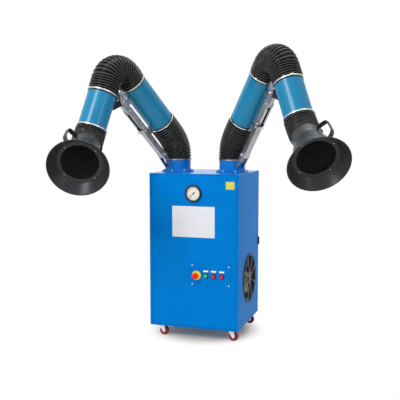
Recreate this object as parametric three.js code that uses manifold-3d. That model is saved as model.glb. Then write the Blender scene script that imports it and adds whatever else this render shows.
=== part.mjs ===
// Mobile fume extractor: a filter cabinet on casters that carries two articulated extraction arms.
// Millimetres, +X to the right, +Y to the back, +Z up, origin at the middle of the cabinet underside.
import * as THREE from 'three';
import { mergeVertices } from 'three/addons/utils/BufferGeometryUtils.js';
import Module from 'manifold-3d';

const wasm = await Module();
wasm.setup();

// General
const GAP = 0.3;
const SHEET = 3;
const DEG = Math.PI / 180;
const ROUND = 12;
const FINE = 16;

// Cabinet
const CABINET_W = 600;
const CABINET_D = 550;
const CABINET_H = 1000;
const BASE_FLOOR = 4;
const BASE_UPSTAND = 34;
const FRONT_RETURN = 14;
const REAR_RETURN = 22;
const DOOR_DEPTH = 18;
const DOOR_REVEAL = 1.5;
const DOOR_FOOT = 6;
const PLENUM_H = 200;
const SHELF_Z = CABINET_H - PLENUM_H;
const SHELF_FRONT = -190;
const TOP_LIP = 16;

// Door hinges
const HINGE_R = 4.5;
const HINGE_LENGTH = 26;
const HINGE_LUG = 11;
const HINGE_LEAF = 12;
const HINGE_LEAF_T = 2.5;
const HINGE_FOOT = 116;
const HINGE_DROP = 75;
const HINGE_HEIGHTS = [HINGE_FOOT, CABINET_H - HINGE_DROP];
const HINGE_X = CABINET_W / 2 - 4.5;
const HINGE_Y = -CABINET_D / 2 - HINGE_R - GAP;

// Casters
const RAIL_W = 110;
const RAIL_H = 4;
const CASTER_INSET_X = 62;
const CASTER_INSET_Y = 55;
const CASTER_PLATE = 62;
const CASTER_PLATE_T = 3;
const CASTER_TRAIL = 18;
const WHEEL_R = 31.5;
const WHEEL_W = 25;
const AXLE_R = 4;
const RACE_R = 22;
const RACE_T = 5;
const FORK_T = 3;
const FLOOR_Z = -80;
const LEG_GAP = 1.2;
const LEG_FOOT_R = 8;
const AXLE_END = 3;
const WHEEL_HUB_R = 11;
const WHEEL_DISH = 4;
const TREAD_DEPTH = 6;
const TREAD_EDGE = 5;

// Filter
const FILTER_X = -60;
const FILTER_Y = 30;
const FILTER_R = 160;
const FILTER_PLEAT = 12;
const FILTER_PLEATS = 18;
const FILTER_BORE = 110;
const FILTER_FOOT = 400;
const FILTER_LENGTH = SHELF_Z - FILTER_FOOT;
const FILTER_FLANGE = 18;
const FILTER_CAP = 8;

// Fan
const FAN_Y = 10;
const FAN_Z = 293;
const OUTLET_R = 150;
const GUARD_R = 163;
const GUARD_WIRE = 2.6;
const GUARD_RINGS = 5;
const GUARD_SPOKES = 4;
const IMPELLER_R = 136;
const IMPELLER_HUB_R = 46;
const IMPELLER_HUB_T = 42;
const IMPELLER_BLADES = 7;
const IMPELLER_SETBACK = 16;
const BLADE_T = 4;
const BLADE_CHORD = 74;
const SHAFT_R = 9;
const MOTOR_R = 68;
const MOTOR_FIN = 8;
const MOTOR_FINS = 10;
const MOTOR_LENGTH = 150;
const MOTOR_BELL = 18;
const MOTOR_FOOT_W = 120;
const MOTOR_FOOT_INSET = 10;
const MOTOR_FOOT_RISE = 30;
const MOTOR_LEG_INSET = 40;
const MOTOR_LEG_SHARE = 0.45;
const MOTOR_BELL_STEP = 14;
const BLADE_CAMBER = 9;
const BLADE_PITCH = 62;

// Controls on the door
const PLATE_X = 115;
const PLATE_Z = 350;
const PLATE_W = 268;
const PLATE_H = 146;
const PLATE_T = 2;
const ESTOP_X = 22;
const BUTTON_X = [84, 136, 190];
const BUTTON_Z = 347;
const BUTTON_R = 12;
const BEZEL_R = 15.5;
const BEZEL_OUT = 7;
const BUTTON_OUT = 13;
const BUTTON_STEM_R = 5;
const BUTTON_STEM = 20;
const ESTOP_DISC_R = 30;
const ESTOP_DISC_T = 4;
const ESTOP_BODY_R = 15.5;
const ESTOP_BODY_OUT = 13;
const ESTOP_BODY_IN = 30;
const ESTOP_STEM_R = 9;
const ESTOP_HEAD_R = 20;
const ESTOP_HEAD_FROM = 26;
const ESTOP_HEAD_TO = 44;

// Gauge
const GAUGE_X = 0;
const GAUGE_DROP = 126;
const GAUGE_Z = CABINET_H - GAUGE_DROP;
const GAUGE_R = 55;
const GAUGE_CAN_R = 47.7;
const GAUGE_CAN_DEPTH = 28;
const GAUGE_OUT = 14;
const GAUGE_LIP = 2;
const GAUGE_LENS_T = 2.3;
const GAUGE_SPINDLE_R = 2.5;
const NEEDLE_T = 1.2;
const NEEDLE_LENGTH = 36;
const NEEDLE_TAIL = 14;
const NEEDLE_TAIL_W = 5;
const NEEDLE_HUB_R = 6;
const NEEDLE_ANGLE = 135;

// Arms
const ARM_INSET = 110;
const ARM_X = CABINET_W / 2 - ARM_INSET;
const ARM_Y = -30;
const TUBE_R = 86;
const TUBE_WALL = 2.5;
const FLANGE_R = 108;
const FLANGE_T = 8;
const DUCT_BORE = 72;
const SPIGOT_WALL = 5;
const SPIGOT_H = 34;
const COLLAR_FOOT_R = 102;
const COLLAR_FOOT_T = 8;
const COLLAR_H = 88;
const COLLAR_TOP = CABINET_H + COLLAR_H;
const SHOULDER_R = 150;
const SHOULDER_RISE = 30;
const SHOULDER_Z = COLLAR_TOP + SHOULDER_RISE;
const BEAM_LENGTH = 484;
const TUBE_OFFSET = 151;
const LOWER_TUBE_START = 140;
const TUBE_HEAD = 30;
const UPPER_TUBE_LENGTH = 232;
const BEAM_W = 40;
const BEAM_H = 36;
const BEAM_WALL = 3;
const BEAM_SPLIT = BEAM_LENGTH / 2;
const CHANNEL_WALL = 3;
const CHANNEL_OVERLAP = 26;
const CHANNEL_SETBACK = 64;
const CHANNEL_END = BEAM_LENGTH - CHANNEL_SETBACK;
const LUG_T = 6;
const LUG_R = 18;
const LUG_DROP = 30;
const LUG_ROOT = 28;
const PIN_R = 8;
const SADDLE_L = 30;
const SADDLE_W = 24;
const SADDLE_T = 16;
const SADDLE_TOE = 8;
const SADDLE_SETBACK = 4;
const SPRING_R = 10;
const SPRING_ROD_R = 4.5;
const SPRING_SHARE = 0.88;
const SPRING_BASE = 6;
const BRACKET_W = 24;
const BRACKET_R = 24;
const TONGUE_L = 34;
const CHEEK_T = 9;
const CHEEK_R = 22;
const ELBOW_R = 97;
const HOSE_WALL = 4;
const SLEEVE = 24;
const HOSE_SIDES = 12;
const SHOULDER_STEPS = 6;
const ELBOW_STEPS = 10;
const HOOD_STEPS = 5;

// Hood
const HOOD_PIVOT = 70;
const HOOD_D = 369;
const HOOD_RIM_R = 176;
const HOOD_WALL = 3;
const HOOD_CONE_R = 134;
const HOOD_CONE_L = 136;
const HOOD_FLARE_L = 64;
const STRAP_W = 16;
const STRAP_T = 4;
const STRAP_PIN_R = 4;
const YOKE_BAND = 22;
const YOKE_BAND_T = 4;
const EAR_BLOCK = 30;
const EAR_CLEARANCE = 1.2;
const MESH_RING = 18;
const MESH_T = 4;
const MESH_BARS = 3;
const HANDLE_W = 24;
const HANDLE_T = 9;
const HANDLE_H = 62;
const HANDLE_SWELL = 16;
const HANDLE_FROM = 104;
const HANDLE_TO = 246;
const HANDLE_ROLL = 2.5 * (360 / FINE);

// Pose of each arm as it stands: swivel from straight ahead, tube slopes, hood tilt and hood turn
const ARMS = [
  { name: 'left', side: -1, swivel: 25, lower: 43.4, upper: 68.1, tilt: 48.6, turn: 52 },
  { name: 'right', side: 1, swivel: 48, lower: 51.2, upper: 63.6, tilt: 33, turn: 33 },
];

// Colours
const BLUE = { color: 0x0a6fc4, roughness: 0.4, metalness: 0.1 };
const TUBE_BLUE = { color: 0x0f7cb8, roughness: 0.3, metalness: 0.1 };
const CHARCOAL = { color: 0x2a2c30, roughness: 0.6, metalness: 0 };
const RUBBER = { color: 0x18181a, roughness: 0.85, metalness: 0 };
const ALUMINIUM = { color: 0xc9cbd0, roughness: 0.35, metalness: 0.9 };
const ZINC = { color: 0xb9bcc2, roughness: 0.4, metalness: 0.9 };
const DARK = { color: 0x2b2d33, roughness: 0.5, metalness: 0.3 };
const WHEEL_RED = { color: 0x821a2e, roughness: 0.5, metalness: 0 };
const PAPER = { color: 0xe8e2d0, roughness: 0.9, metalness: 0 };
const RED = { color: 0xe01c24, roughness: 0.35, metalness: 0 };
const GREEN = { color: 0x14b46e, roughness: 0.35, metalness: 0 };
const YELLOW = { color: 0xecd728, roughness: 0.4, metalness: 0 };
const GLASS = { color: 0xf2f6f8, roughness: 0.05, metalness: 0 };

// Closed mesh with merged vertices, no slivers and its faces pointing out
function closed(geometry) {
  const bare = geometry.clone();
  bare.deleteAttribute('normal');
  bare.deleteAttribute('uv');
  const merged = mergeVertices(bare, 1e-3);
  const p = merged.attributes.position;
  const index = merged.index.array;
  const kept = [];
  let volume = 0;
  const a = new THREE.Vector3();
  const b = new THREE.Vector3();
  const c = new THREE.Vector3();
  for (let i = 0; i < index.length; i += 3) {
    const [u, v, w] = [index[i], index[i + 1], index[i + 2]];
    if (u === v || v === w || u === w) continue;
    kept.push(u, v, w);
    volume += a.fromBufferAttribute(p, u).dot(b.fromBufferAttribute(p, v).cross(c.fromBufferAttribute(p, w)));
  }
  if (volume < 0) kept.reverse();
  merged.setIndex(kept);
  return merged;
}

function toSolid(geometry) {
  const shape = closed(geometry);
  const vertProperties = new Float32Array(shape.attributes.position.array);
  const triVerts = new Uint32Array(shape.index.array);
  return new wasm.Manifold(new wasm.Mesh({ numProp: 3, vertProperties, triVerts }));
}

function toGeometry(solid) {
  const mesh = solid.getMesh();
  const geometry = new THREE.BufferGeometry();
  geometry.setAttribute('position', new THREE.BufferAttribute(mesh.vertProperties, 3));
  geometry.setIndex(new THREE.BufferAttribute(mesh.triVerts, 1));
  return geometry;
}

function join(first, ...others) {
  return toGeometry(others.reduce((sum, part) => sum.add(toSolid(part)), toSolid(first)));
}

function cut(first, ...others) {
  return toGeometry(others.reduce((rest, part) => rest.subtract(toSolid(part)), toSolid(first)));
}

// Box from its lowest to its highest corner
function block(x0, x1, y0, y1, z0, z1) {
  const box = new THREE.BoxGeometry(x1 - x0, y1 - y0, z1 - z0);
  return box.translate((x0 + x1) / 2, (y0 + y1) / 2, (z0 + z1) / 2);
}

// Turns a shape that stands along Z so that it lies along X or along -Y
function along(axis, geometry) {
  if (axis === 'x') return geometry.rotateY(Math.PI / 2);
  if (axis === 'y') return geometry.rotateX(Math.PI / 2);
  return geometry;
}

// Solid of revolution about Z from [radius, height] pairs; a loop that is off the axis closes on itself
function revolve(profile, sides = ROUND) {
  const points = profile.map(([r, z]) => new THREE.Vector2(r, z));
  const offAxis = points[0].x > 0;
  if (offAxis) points.push(points[0].clone());
  return new THREE.LatheGeometry(points, sides).rotateX(Math.PI / 2);
}

function rod(r, z0, z1, sides = ROUND) {
  return new THREE.CylinderGeometry(r, r, z1 - z0, sides).rotateX(Math.PI / 2).translate(0, 0, (z0 + z1) / 2);
}

function pipe(inner, outer, z0, z1, sides = ROUND) {
  return revolve([[inner, z0], [outer, z0], [outer, z1], [inner, z1]], sides);
}

function polygon(points) {
  const shape = new THREE.Shape();
  points.forEach(([x, y], i) => (i ? shape.lineTo(x, y) : shape.moveTo(x, y)));
  return shape;
}

function extrude(shape, depth, curveSegments = 10) {
  return new THREE.ExtrudeGeometry(shape, { depth, bevelEnabled: false, curveSegments });
}

// Outline drawn in the XZ plane, as thick as it is wide across Y, centred on Y
function plateXZ(shape, width, curveSegments = 10) {
  return extrude(shape, width, curveSegments).rotateX(Math.PI / 2).translate(0, width / 2, 0);
}

// A round hole in a piece with few sides still clears a shaft by the gap
function clearHole(r, sides = ROUND) {
  return (r + GAP) / Math.cos(Math.PI / sides);
}

const model = new THREE.Group();

function place(parent, name, geometry, look) {
  const mesh = new THREE.Mesh(closed(geometry), new THREE.MeshStandardMaterial(look));
  mesh.name = name;
  parent.add(mesh);
  return mesh;
}

function group(parent, x, y, z) {
  const child = new THREE.Group();
  child.position.set(x, y, z);
  parent.add(child);
  return child;
}

const halfW = CABINET_W / 2;
const halfD = CABINET_D / 2;
const panelBottom = BASE_FLOOR + GAP;
const panelTop = CABINET_H - SHEET - GAP;
const innerX = halfW - SHEET - GAP;
const innerRear = halfD - 2 * (SHEET + GAP);
const frontY = -halfD;
const hingeSpan = HINGE_LENGTH / 2 + GAP + HINGE_LUG;
const casterPoints = [];
for (const [end, y] of [['front', -1], ['rear', 1]]) {
  for (const [flank, x] of [['left', -1], ['right', 1]]) {
    casterPoints.push({
      name: `${end}_${flank}`,
      x: x * (halfW - CASTER_INSET_X),
      y: y * (halfD - CASTER_INSET_Y),
    });
  }
}
const plateBottom = -RAIL_H - CASTER_PLATE_T;

// Base: floor tray with an upstand for the panels, two rails and the caster plates below them
function baseFrame() {
  const upstandFront = frontY + DOOR_DEPTH + 2 * SHEET;
  const outer = block(-innerX, innerX, upstandFront, innerRear, 0, BASE_UPSTAND);
  const hollow = block(-innerX + SHEET, innerX - SHEET, upstandFront + SHEET, innerRear - SHEET, BASE_FLOOR,
    BASE_UPSTAND + 1);
  const floor = block(-halfW, halfW, -halfD, halfD, 0, BASE_FLOOR);
  const rails = [-1, 1].map((end) => {
    const y = end * (halfD - RAIL_W / 2 - SHEET);
    return block(-halfW + SHEET, halfW - SHEET, y - RAIL_W / 2, y + RAIL_W / 2, -RAIL_H, BASE_FLOOR / 2);
  });
  const half = CASTER_PLATE / 2;
  const plates = casterPoints.map(({ x, y }) =>
    block(x - half, x + half, y - half, y + half, plateBottom, -RAIL_H / 2));
  return join(floor, cut(outer, hollow), ...rails, ...plates);
}

// Side panel: one folded sheet with a front return beside the door and a rear return
function sidePanel(side) {
  const rear = halfD - SHEET - GAP;
  const outline = polygon([
    [halfW, frontY], [halfW, rear], [halfW - REAR_RETURN, rear], [halfW - REAR_RETURN, rear - SHEET],
    [halfW - SHEET, rear - SHEET], [halfW - SHEET, frontY + SHEET], [halfW - FRONT_RETURN, frontY + SHEET],
    [halfW - FRONT_RETURN, frontY],
  ]);
  const sheet = extrude(outline, panelTop - panelBottom).translate(0, 0, panelBottom);
  return side > 0 ? sheet : sheet.scale(-1, 1, 1);
}

function rightPanel() {
  const outlet = along('x', rod(OUTLET_R, halfW - 2 * SHEET, halfW + SHEET, FINE)).translate(0, FAN_Y, FAN_Z);
  const lugs = HINGE_HEIGHTS.flatMap((z) => [-1, 1].map((end) => {
    const near = z + end * (HINGE_LENGTH / 2 + GAP);
    const far = z + end * hingeSpan;
    const [low, high] = [Math.min(near, far), Math.max(near, far)];
    const barrel = rod(HINGE_R, low, high, 12).translate(HINGE_X, HINGE_Y, 0);
    const foot = block(HINGE_X - HINGE_R, HINGE_X + HINGE_R, HINGE_Y, frontY + SHEET / 2, low, high);
    return join(barrel, foot);
  }));
  return join(cut(sidePanel(1), outlet), ...lugs);
}

function topPanel() {
  const plate = block(-halfW, halfW, -halfD, halfD, CABINET_H - SHEET, CABINET_H);
  const bores = [-1, 1].map((side) =>
    rod(DUCT_BORE, CABINET_H - 2 * SHEET, CABINET_H + SHEET).translate(side * ARM_X, ARM_Y, 0));
  const lipReach = halfD - DOOR_DEPTH - REAR_RETURN;
  const lips = [-1, 1].map((side) => {
    const x = [side * innerX, side * (innerX - SHEET)].sort((a, b) => a - b);
    return block(x[0], x[1], -lipReach, lipReach, CABINET_H - SHEET - TOP_LIP, CABINET_H - SHEET / 2);
  });
  return join(cut(plate, ...bores), ...lips);
}

const filterHole = FILTER_R + 5;
const shelfTop = SHELF_Z + SHEET;

// Shelf that parts the dirty side from the clean side: a sheet folded down along both panels
function filterShelf() {
  const outline = polygon([
    [-innerX, SHELF_Z - TOP_LIP], [-innerX + SHEET, SHELF_Z - TOP_LIP], [-innerX + SHEET, SHELF_Z],
    [innerX - SHEET, SHELF_Z], [innerX - SHEET, SHELF_Z - TOP_LIP], [innerX, SHELF_Z - TOP_LIP],
    [innerX, shelfTop], [-innerX, shelfTop],
  ]);
  const depth = innerRear - GAP - SHELF_FRONT;
  const sheet = plateXZ(outline, depth).translate(0, SHELF_FRONT + depth / 2, 0);
  const hole = rod(filterHole, SHELF_Z - TOP_LIP, shelfTop + TOP_LIP, FINE).translate(FILTER_X, FILTER_Y, 0);
  return cut(sheet, hole);
}

// Pleated cartridge: it hangs through the shelf by its top flange and is shut at the bottom
function filterCartridge() {
  const pleats = [];
  for (let i = 0; i < 2 * FILTER_PLEATS; i += 1) {
    const r = i % 2 ? FILTER_R - FILTER_PLEAT : FILTER_R;
    const angle = (i * Math.PI) / FILTER_PLEATS;
    pleats.push([r * Math.cos(angle), r * Math.sin(angle)]);
  }
  const star = polygon(pleats);
  star.holes.push(new THREE.Path().absarc(0, 0, FILTER_BORE, 0, 2 * Math.PI, true));
  const flangeBottom = shelfTop + GAP;
  const bottom = flangeBottom - FILTER_LENGTH;
  const media = extrude(star, FILTER_LENGTH + FILTER_CAP / 2, 12).translate(0, 0, bottom);
  const rimTop = flangeBottom + FILTER_CAP;
  const flange = pipe(FILTER_BORE - 2, filterHole + FILTER_FLANGE, flangeBottom, rimTop, FINE);
  const cap = rod(FILTER_R + 2, bottom - FILTER_CAP / 2, bottom + FILTER_CAP / 2, FINE);
  return join(media, flange, cap).translate(FILTER_X, FILTER_Y, 0);
}

const hubFront = halfW - SHEET - IMPELLER_SETBACK;
const hubBack = hubFront - IMPELLER_HUB_T;
const motorFront = hubBack - MOTOR_BELL - 6;
const motorBack = motorFront - MOTOR_LENGTH;

// Finned motor on a foot that stands on the base floor, with its shaft towards the outlet
function blowerMotor() {
  const fins = [];
  for (let i = 0; i < 4 * MOTOR_FINS; i += 1) {
    const r = i % 4 < 2 ? MOTOR_R : MOTOR_R - MOTOR_FIN;
    const angle = (i * Math.PI) / (2 * MOTOR_FINS);
    fins.push([r * Math.cos(angle), r * Math.sin(angle)]);
  }
  const core = along('x', extrude(polygon(fins), MOTOR_LENGTH).translate(0, 0, motorBack));
  const bellR = MOTOR_R - MOTOR_FIN - 4;
  const bellEdge = bellR - MOTOR_BELL_STEP;
  const bells = along('x', revolve([
    [0, motorBack - MOTOR_BELL], [bellEdge, motorBack - MOTOR_BELL], [bellR, motorBack - 4],
    [bellR, motorFront + 4], [bellEdge, motorFront + MOTOR_BELL], [0, motorFront + MOTOR_BELL],
  ]));
  const shaft = along('x', rod(SHAFT_R, motorFront, hubFront - 4, 16));
  const footBottom = BASE_FLOOR + GAP - FAN_Z;
  const half = MOTOR_FOOT_W / 2;
  const [footBack, footFront] = [motorBack + MOTOR_FOOT_INSET, motorFront - MOTOR_FOOT_INSET];
  const [legBack, legFront] = [motorBack + MOTOR_LEG_INSET, motorFront - MOTOR_LEG_INSET];
  const rise = footBottom + MOTOR_FOOT_RISE;
  const stand = plateXZ(polygon([
    [footBack, footBottom], [footFront, footBottom], [footFront, footBottom + SHEET], [legFront, rise],
    [legFront, 0], [legBack, 0], [legBack, rise], [footBack, footBottom + SHEET],
  ]), MOTOR_FOOT_W);
  const waist = block(motorBack, motorFront, -half - 1, -half * MOTOR_LEG_SHARE, rise, -MOTOR_R);
  const otherWaist = waist.clone().translate(0, half * (1 + MOTOR_LEG_SHARE) + 1, 0);
  return join(core, bells, shaft, cut(stand, waist, otherWaist)).translate(0, FAN_Y, FAN_Z);
}

// Axial impeller: a hub with cambered, pitched blades
function impeller() {
  const half = BLADE_CHORD / 2;
  const section = new THREE.Shape();
  section.moveTo(-half, 0);
  section.quadraticCurveTo(0, 2 * BLADE_CAMBER, half, 0);
  section.lineTo(half, BLADE_T);
  section.quadraticCurveTo(0, 2 * BLADE_CAMBER + BLADE_T, -half, BLADE_T);
  section.closePath();
  const reach = IMPELLER_R - IMPELLER_HUB_R * 0.8;
  const blades = [];
  for (let i = 0; i < IMPELLER_BLADES; i += 1) {
    const blade = extrude(section, reach, 3);
    blade.translate(0, -BLADE_CAMBER, IMPELLER_HUB_R * 0.8).rotateZ(-BLADE_PITCH * DEG);
    blades.push(blade.rotateX((i * 2 * Math.PI) / IMPELLER_BLADES).translate((hubFront + hubBack) / 2, 0, 0));
  }
  const bore = clearHole(SHAFT_R, 16);
  const hub = along('x', revolve([
    [bore, hubBack], [IMPELLER_HUB_R, hubBack], [IMPELLER_HUB_R, hubFront - 6],
    [IMPELLER_HUB_R - 8, hubFront], [bore, hubFront],
  ], 16));
  const clearBore = along('x', rod(bore, hubBack - BLADE_CHORD, hubFront + BLADE_CHORD, 16));
  return cut(join(hub, ...blades), clearBore).translate(0, FAN_Y, FAN_Z);
}

// Wire guard: rings in one plane with spokes laid across them
function fanGuard() {
  const ringX = halfW + GAP + GUARD_WIRE;
  const rings = [];
  for (let i = 1; i <= GUARD_RINGS; i += 1) {
    const ring = new THREE.TorusGeometry((GUARD_R * i) / GUARD_RINGS, GUARD_WIRE, 4, FINE);
    rings.push(ring.rotateY(Math.PI / 2).translate(ringX, 0, 0));
  }
  const spokes = [];
  for (let i = 0; i < GUARD_SPOKES / 2; i += 1) {
    const spoke = rod(GUARD_WIRE, -GUARD_R, GUARD_R, 4).rotateX((i * 2 * Math.PI) / GUARD_SPOKES);
    spokes.push(spoke.translate(ringX + GUARD_WIRE, 0, 0));
  }
  return join(rings[0], ...rings.slice(1), ...spokes).translate(0, FAN_Y, FAN_Z);
}

const doorX = halfW - FRONT_RETURN - DOOR_REVEAL;
const doorBottom = BASE_FLOOR + DOOR_FOOT;
const doorTop = CABINET_H - SHEET - DOOR_FOOT;

// Distances in front of the door skin become places along -Y
function onDoor(geometry, x, z) {
  return along('y', geometry).translate(x, frontY, z);
}

// Door: a folded pan with holes for the gauge and controls, and the hinge leaves
function frontDoor() {
  const pan = block(-doorX, doorX, frontY, frontY + DOOR_DEPTH, doorBottom, doorTop);
  const inside = block(-doorX + SHEET, doorX - SHEET, frontY + SHEET, frontY + DOOR_DEPTH + 1,
    doorBottom + SHEET, doorTop - SHEET);
  const hole = (r, x, z) => onDoor(rod(r, -2 * SHEET, SHEET), x, z);
  const holes = [
    hole(clearHole(GAUGE_CAN_R), GAUGE_X, GAUGE_Z),
    hole(clearHole(ESTOP_BODY_R), ESTOP_X, BUTTON_Z),
    ...BUTTON_X.map((x) => hole(clearHole(BUTTON_R), x, BUTTON_Z)),
  ];
  const leaves = HINGE_HEIGHTS.map((z) => {
    const low = z - HINGE_LENGTH / 2;
    const high = z + HINGE_LENGTH / 2;
    const barrel = rod(HINGE_R, low, high, 12).translate(HINGE_X, HINGE_Y, 0);
    const leaf = block(doorX - HINGE_LEAF, HINGE_X, frontY - GAP - HINGE_LEAF_T, frontY - GAP, low, high);
    const seat = block(doorX - HINGE_LEAF, doorX - SHEET, frontY - GAP - 1, frontY + SHEET / 2, low, high);
    return join(barrel, leaf, seat);
  });
  return join(cut(pan, inside, ...holes), ...leaves);
}

const plateFront = GAP + PLATE_T;

function controlPlate() {
  const plate = block(-PLATE_W / 2, PLATE_W / 2, -PLATE_T - GAP, -GAP, -PLATE_H / 2, PLATE_H / 2)
    .translate(PLATE_X, frontY, PLATE_Z);
  const bezels = BUTTON_X.map((x) =>
    onDoor(rod(BEZEL_R, GAP + PLATE_T / 2, plateFront + BEZEL_OUT), x, BUTTON_Z));
  const holes = BUTTON_X.map((x) =>
    onDoor(rod(clearHole(BUTTON_R), -SHEET, plateFront + 2 * BEZEL_OUT), x, BUTTON_Z));
  const stopHole = onDoor(rod(clearHole(ESTOP_BODY_R), -SHEET, plateFront + SHEET), ESTOP_X, BUTTON_Z);
  return cut(join(plate, ...bezels), ...holes, stopHole);
}

function pushButton(x) {
  const capFrom = plateFront + 2;
  const cap = plateFront + BUTTON_OUT;
  const profile = [
    [0, -BUTTON_STEM], [BUTTON_STEM_R, -BUTTON_STEM], [BUTTON_STEM_R, capFrom], [BUTTON_R, capFrom],
    [BUTTON_R, cap - 2], [BUTTON_R - 2, cap], [0, cap],
  ];
  return onDoor(revolve(profile), x, BUTTON_Z);
}

function estopBase() {
  const bore = clearHole(ESTOP_STEM_R);
  const discFrom = plateFront + GAP;
  const discTo = discFrom + ESTOP_DISC_T;
  const profile = [
    [bore, -ESTOP_BODY_IN], [ESTOP_BODY_R, -ESTOP_BODY_IN], [ESTOP_BODY_R, discFrom],
    [ESTOP_DISC_R, discFrom], [ESTOP_DISC_R, discTo - 1], [ESTOP_DISC_R - 1, discTo], [ESTOP_BODY_R, discTo],
    [ESTOP_BODY_R, plateFront + ESTOP_BODY_OUT], [bore, plateFront + ESTOP_BODY_OUT],
  ];
  return onDoor(revolve(profile), ESTOP_X, BUTTON_Z);
}

function estopButton() {
  const rim = ESTOP_HEAD_TO - 8;
  const profile = [
    [0, -ESTOP_BODY_IN / 2], [ESTOP_STEM_R, -ESTOP_BODY_IN / 2], [ESTOP_STEM_R, ESTOP_HEAD_FROM],
    [ESTOP_HEAD_R - 2, ESTOP_HEAD_FROM], [ESTOP_HEAD_R, ESTOP_HEAD_FROM + 2], [ESTOP_HEAD_R, rim],
    [ESTOP_HEAD_R * 0.85, rim + 4.5], [ESTOP_HEAD_R * 0.5, ESTOP_HEAD_TO - 1], [0, ESTOP_HEAD_TO],
  ];
  return onDoor(revolve(profile), ESTOP_X, BUTTON_Z);
}

const lensFrom = GAUGE_OUT - GAUGE_LIP - GAP - GAUGE_LENS_T;
const lensSeat = lensFrom - GAP;
const lensR = GAUGE_CAN_R - 0.6;
const dialR = lensR - 3;
const dialFace = -4;

function gaugeCase() {
  const pocket = clearHole(lensR, FINE);
  const profile = [
    [0, -GAUGE_CAN_DEPTH], [GAUGE_CAN_R, -GAUGE_CAN_DEPTH], [GAUGE_CAN_R, GAP], [GAUGE_R, GAP],
    [GAUGE_R, GAUGE_OUT - 4], [GAUGE_R - 3, GAUGE_OUT], [lensR - 2, GAUGE_OUT],
    [lensR - 2, GAUGE_OUT - GAUGE_LIP], [pocket, GAUGE_OUT - GAUGE_LIP], [pocket, lensSeat],
    [dialR, lensSeat], [dialR, dialFace],
    [GAUGE_SPINDLE_R, dialFace], [GAUGE_SPINDLE_R, 3], [0, 3],
  ];
  return onDoor(revolve(profile, FINE), GAUGE_X, GAUGE_Z);
}

function gaugeNeedle() {
  const outline = new THREE.Shape();
  outline.moveTo(-1, NEEDLE_LENGTH);
  outline.lineTo(-3, 0);
  outline.absarc(0, 0, NEEDLE_HUB_R, Math.PI, 2 * Math.PI, false);
  outline.lineTo(3, 0);
  outline.lineTo(1, NEEDLE_LENGTH);
  outline.closePath();
  outline.holes.push(new THREE.Path().absarc(0, 0, clearHole(GAUGE_SPINDLE_R, 16), 0, 2 * Math.PI, true));
  const half = NEEDLE_TAIL_W / 2;
  const tail = block(-half, half, -NEEDLE_TAIL, -NEEDLE_HUB_R / 1.5, 0, NEEDLE_T);
  const needle = join(extrude(outline, NEEDLE_T, 8), tail).rotateZ(NEEDLE_ANGLE * DEG);
  return onDoor(needle, GAUGE_X, GAUGE_Z);
}

// Casters: swivel race with two legs and an axle, and a wheel on the axle
const axleZ = FLOOR_Z + WHEEL_R;
const raceTop = plateBottom - GAP;
const legIn = WHEEL_W / 2 + LEG_GAP;

function casterFork() {
  const race = rod(RACE_R, raceTop - RACE_T, raceTop, ROUND);
  const legOutline = new THREE.Shape();
  legOutline.moveTo(-RACE_R * 0.8, raceTop - 1);
  legOutline.lineTo(RACE_R * 0.95, raceTop - 1);
  legOutline.lineTo(CASTER_TRAIL + LEG_FOOT_R, axleZ);
  legOutline.absarc(CASTER_TRAIL, axleZ, LEG_FOOT_R, 0, -Math.PI, true);
  legOutline.closePath();
  const legs = [-1, 1].map((side) =>
    plateXZ(legOutline, FORK_T, 4).translate(0, side * (legIn + FORK_T / 2), 0));
  const axleHalf = legIn + FORK_T + AXLE_END;
  const axle = along('y', rod(AXLE_R, -axleHalf, axleHalf, 8)).translate(CASTER_TRAIL, 0, axleZ);
  return join(race, ...legs, axle);
}

function casterWheel() {
  const bore = clearHole(AXLE_R, 12);
  const half = WHEEL_W / 2;
  const dish = half - WHEEL_DISH;
  const rimR = WHEEL_R - TREAD_DEPTH;
  const profile = [
    [bore, -half], [WHEEL_HUB_R, -half], [rimR, -dish], [rimR + 2, -half], [WHEEL_R, -half + TREAD_EDGE],
    [WHEEL_R, half - TREAD_EDGE], [rimR + 2, half], [rimR, dish], [WHEEL_HUB_R, half], [bore, half],
  ];
  return along('y', revolve(profile, ROUND)).translate(CASTER_TRAIL, 0, axleZ);
}

// Bend in the XZ plane about the origin, with a straight before and after it: it starts along +X at
// z = radius and turns towards -Z
class Bend extends THREE.Curve {
  constructor(angle, radius, before = 0, after = 0) {
    super();
    this.angle = angle;
    this.radius = radius;
    this.before = before;
    this.after = after;
  }

  getPoint(t, target = new THREE.Vector3()) {
    const length = this.before + this.angle * this.radius + this.after;
    const passed = t * length - this.before;
    const turned = Math.min(Math.max(passed / this.radius, 0), this.angle);
    const rest = passed - turned * this.radius;
    const x = this.radius * Math.sin(turned) + rest * Math.cos(turned);
    const z = this.radius * Math.cos(turned) - rest * Math.sin(turned);
    return target.set(x, 0, z);
  }
}

// A bend with a straight sleeve before and after it, one step long each
class SleevedPath extends THREE.Curve {
  constructor(bend, steps) {
    super();
    this.bend = bend;
    this.edge = 1 / steps;
    this.start = bend.getPointAt(0).addScaledVector(bend.getTangentAt(0), -SLEEVE);
    this.end = bend.getPointAt(1).addScaledVector(bend.getTangentAt(1), SLEEVE);
  }

  getUtoTmapping(u) {
    return u;
  }

  getPoint(t, target = new THREE.Vector3()) {
    if (t < this.edge) return target.lerpVectors(this.start, this.bend.getPointAt(0), t / this.edge);
    const after = t - (1 - this.edge);
    if (after > 0) return target.lerpVectors(this.bend.getPointAt(1), this.end, after / this.edge);
    const within = (t - this.edge) / (1 - 2 * this.edge);
    return target.copy(this.bend.getPointAt(Math.min(Math.max(within, 0), 1)));
  }
}

const hoseIn = clearHole(TUBE_R, HOSE_SIDES);
const hoseOut = hoseIn + HOSE_WALL;

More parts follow.
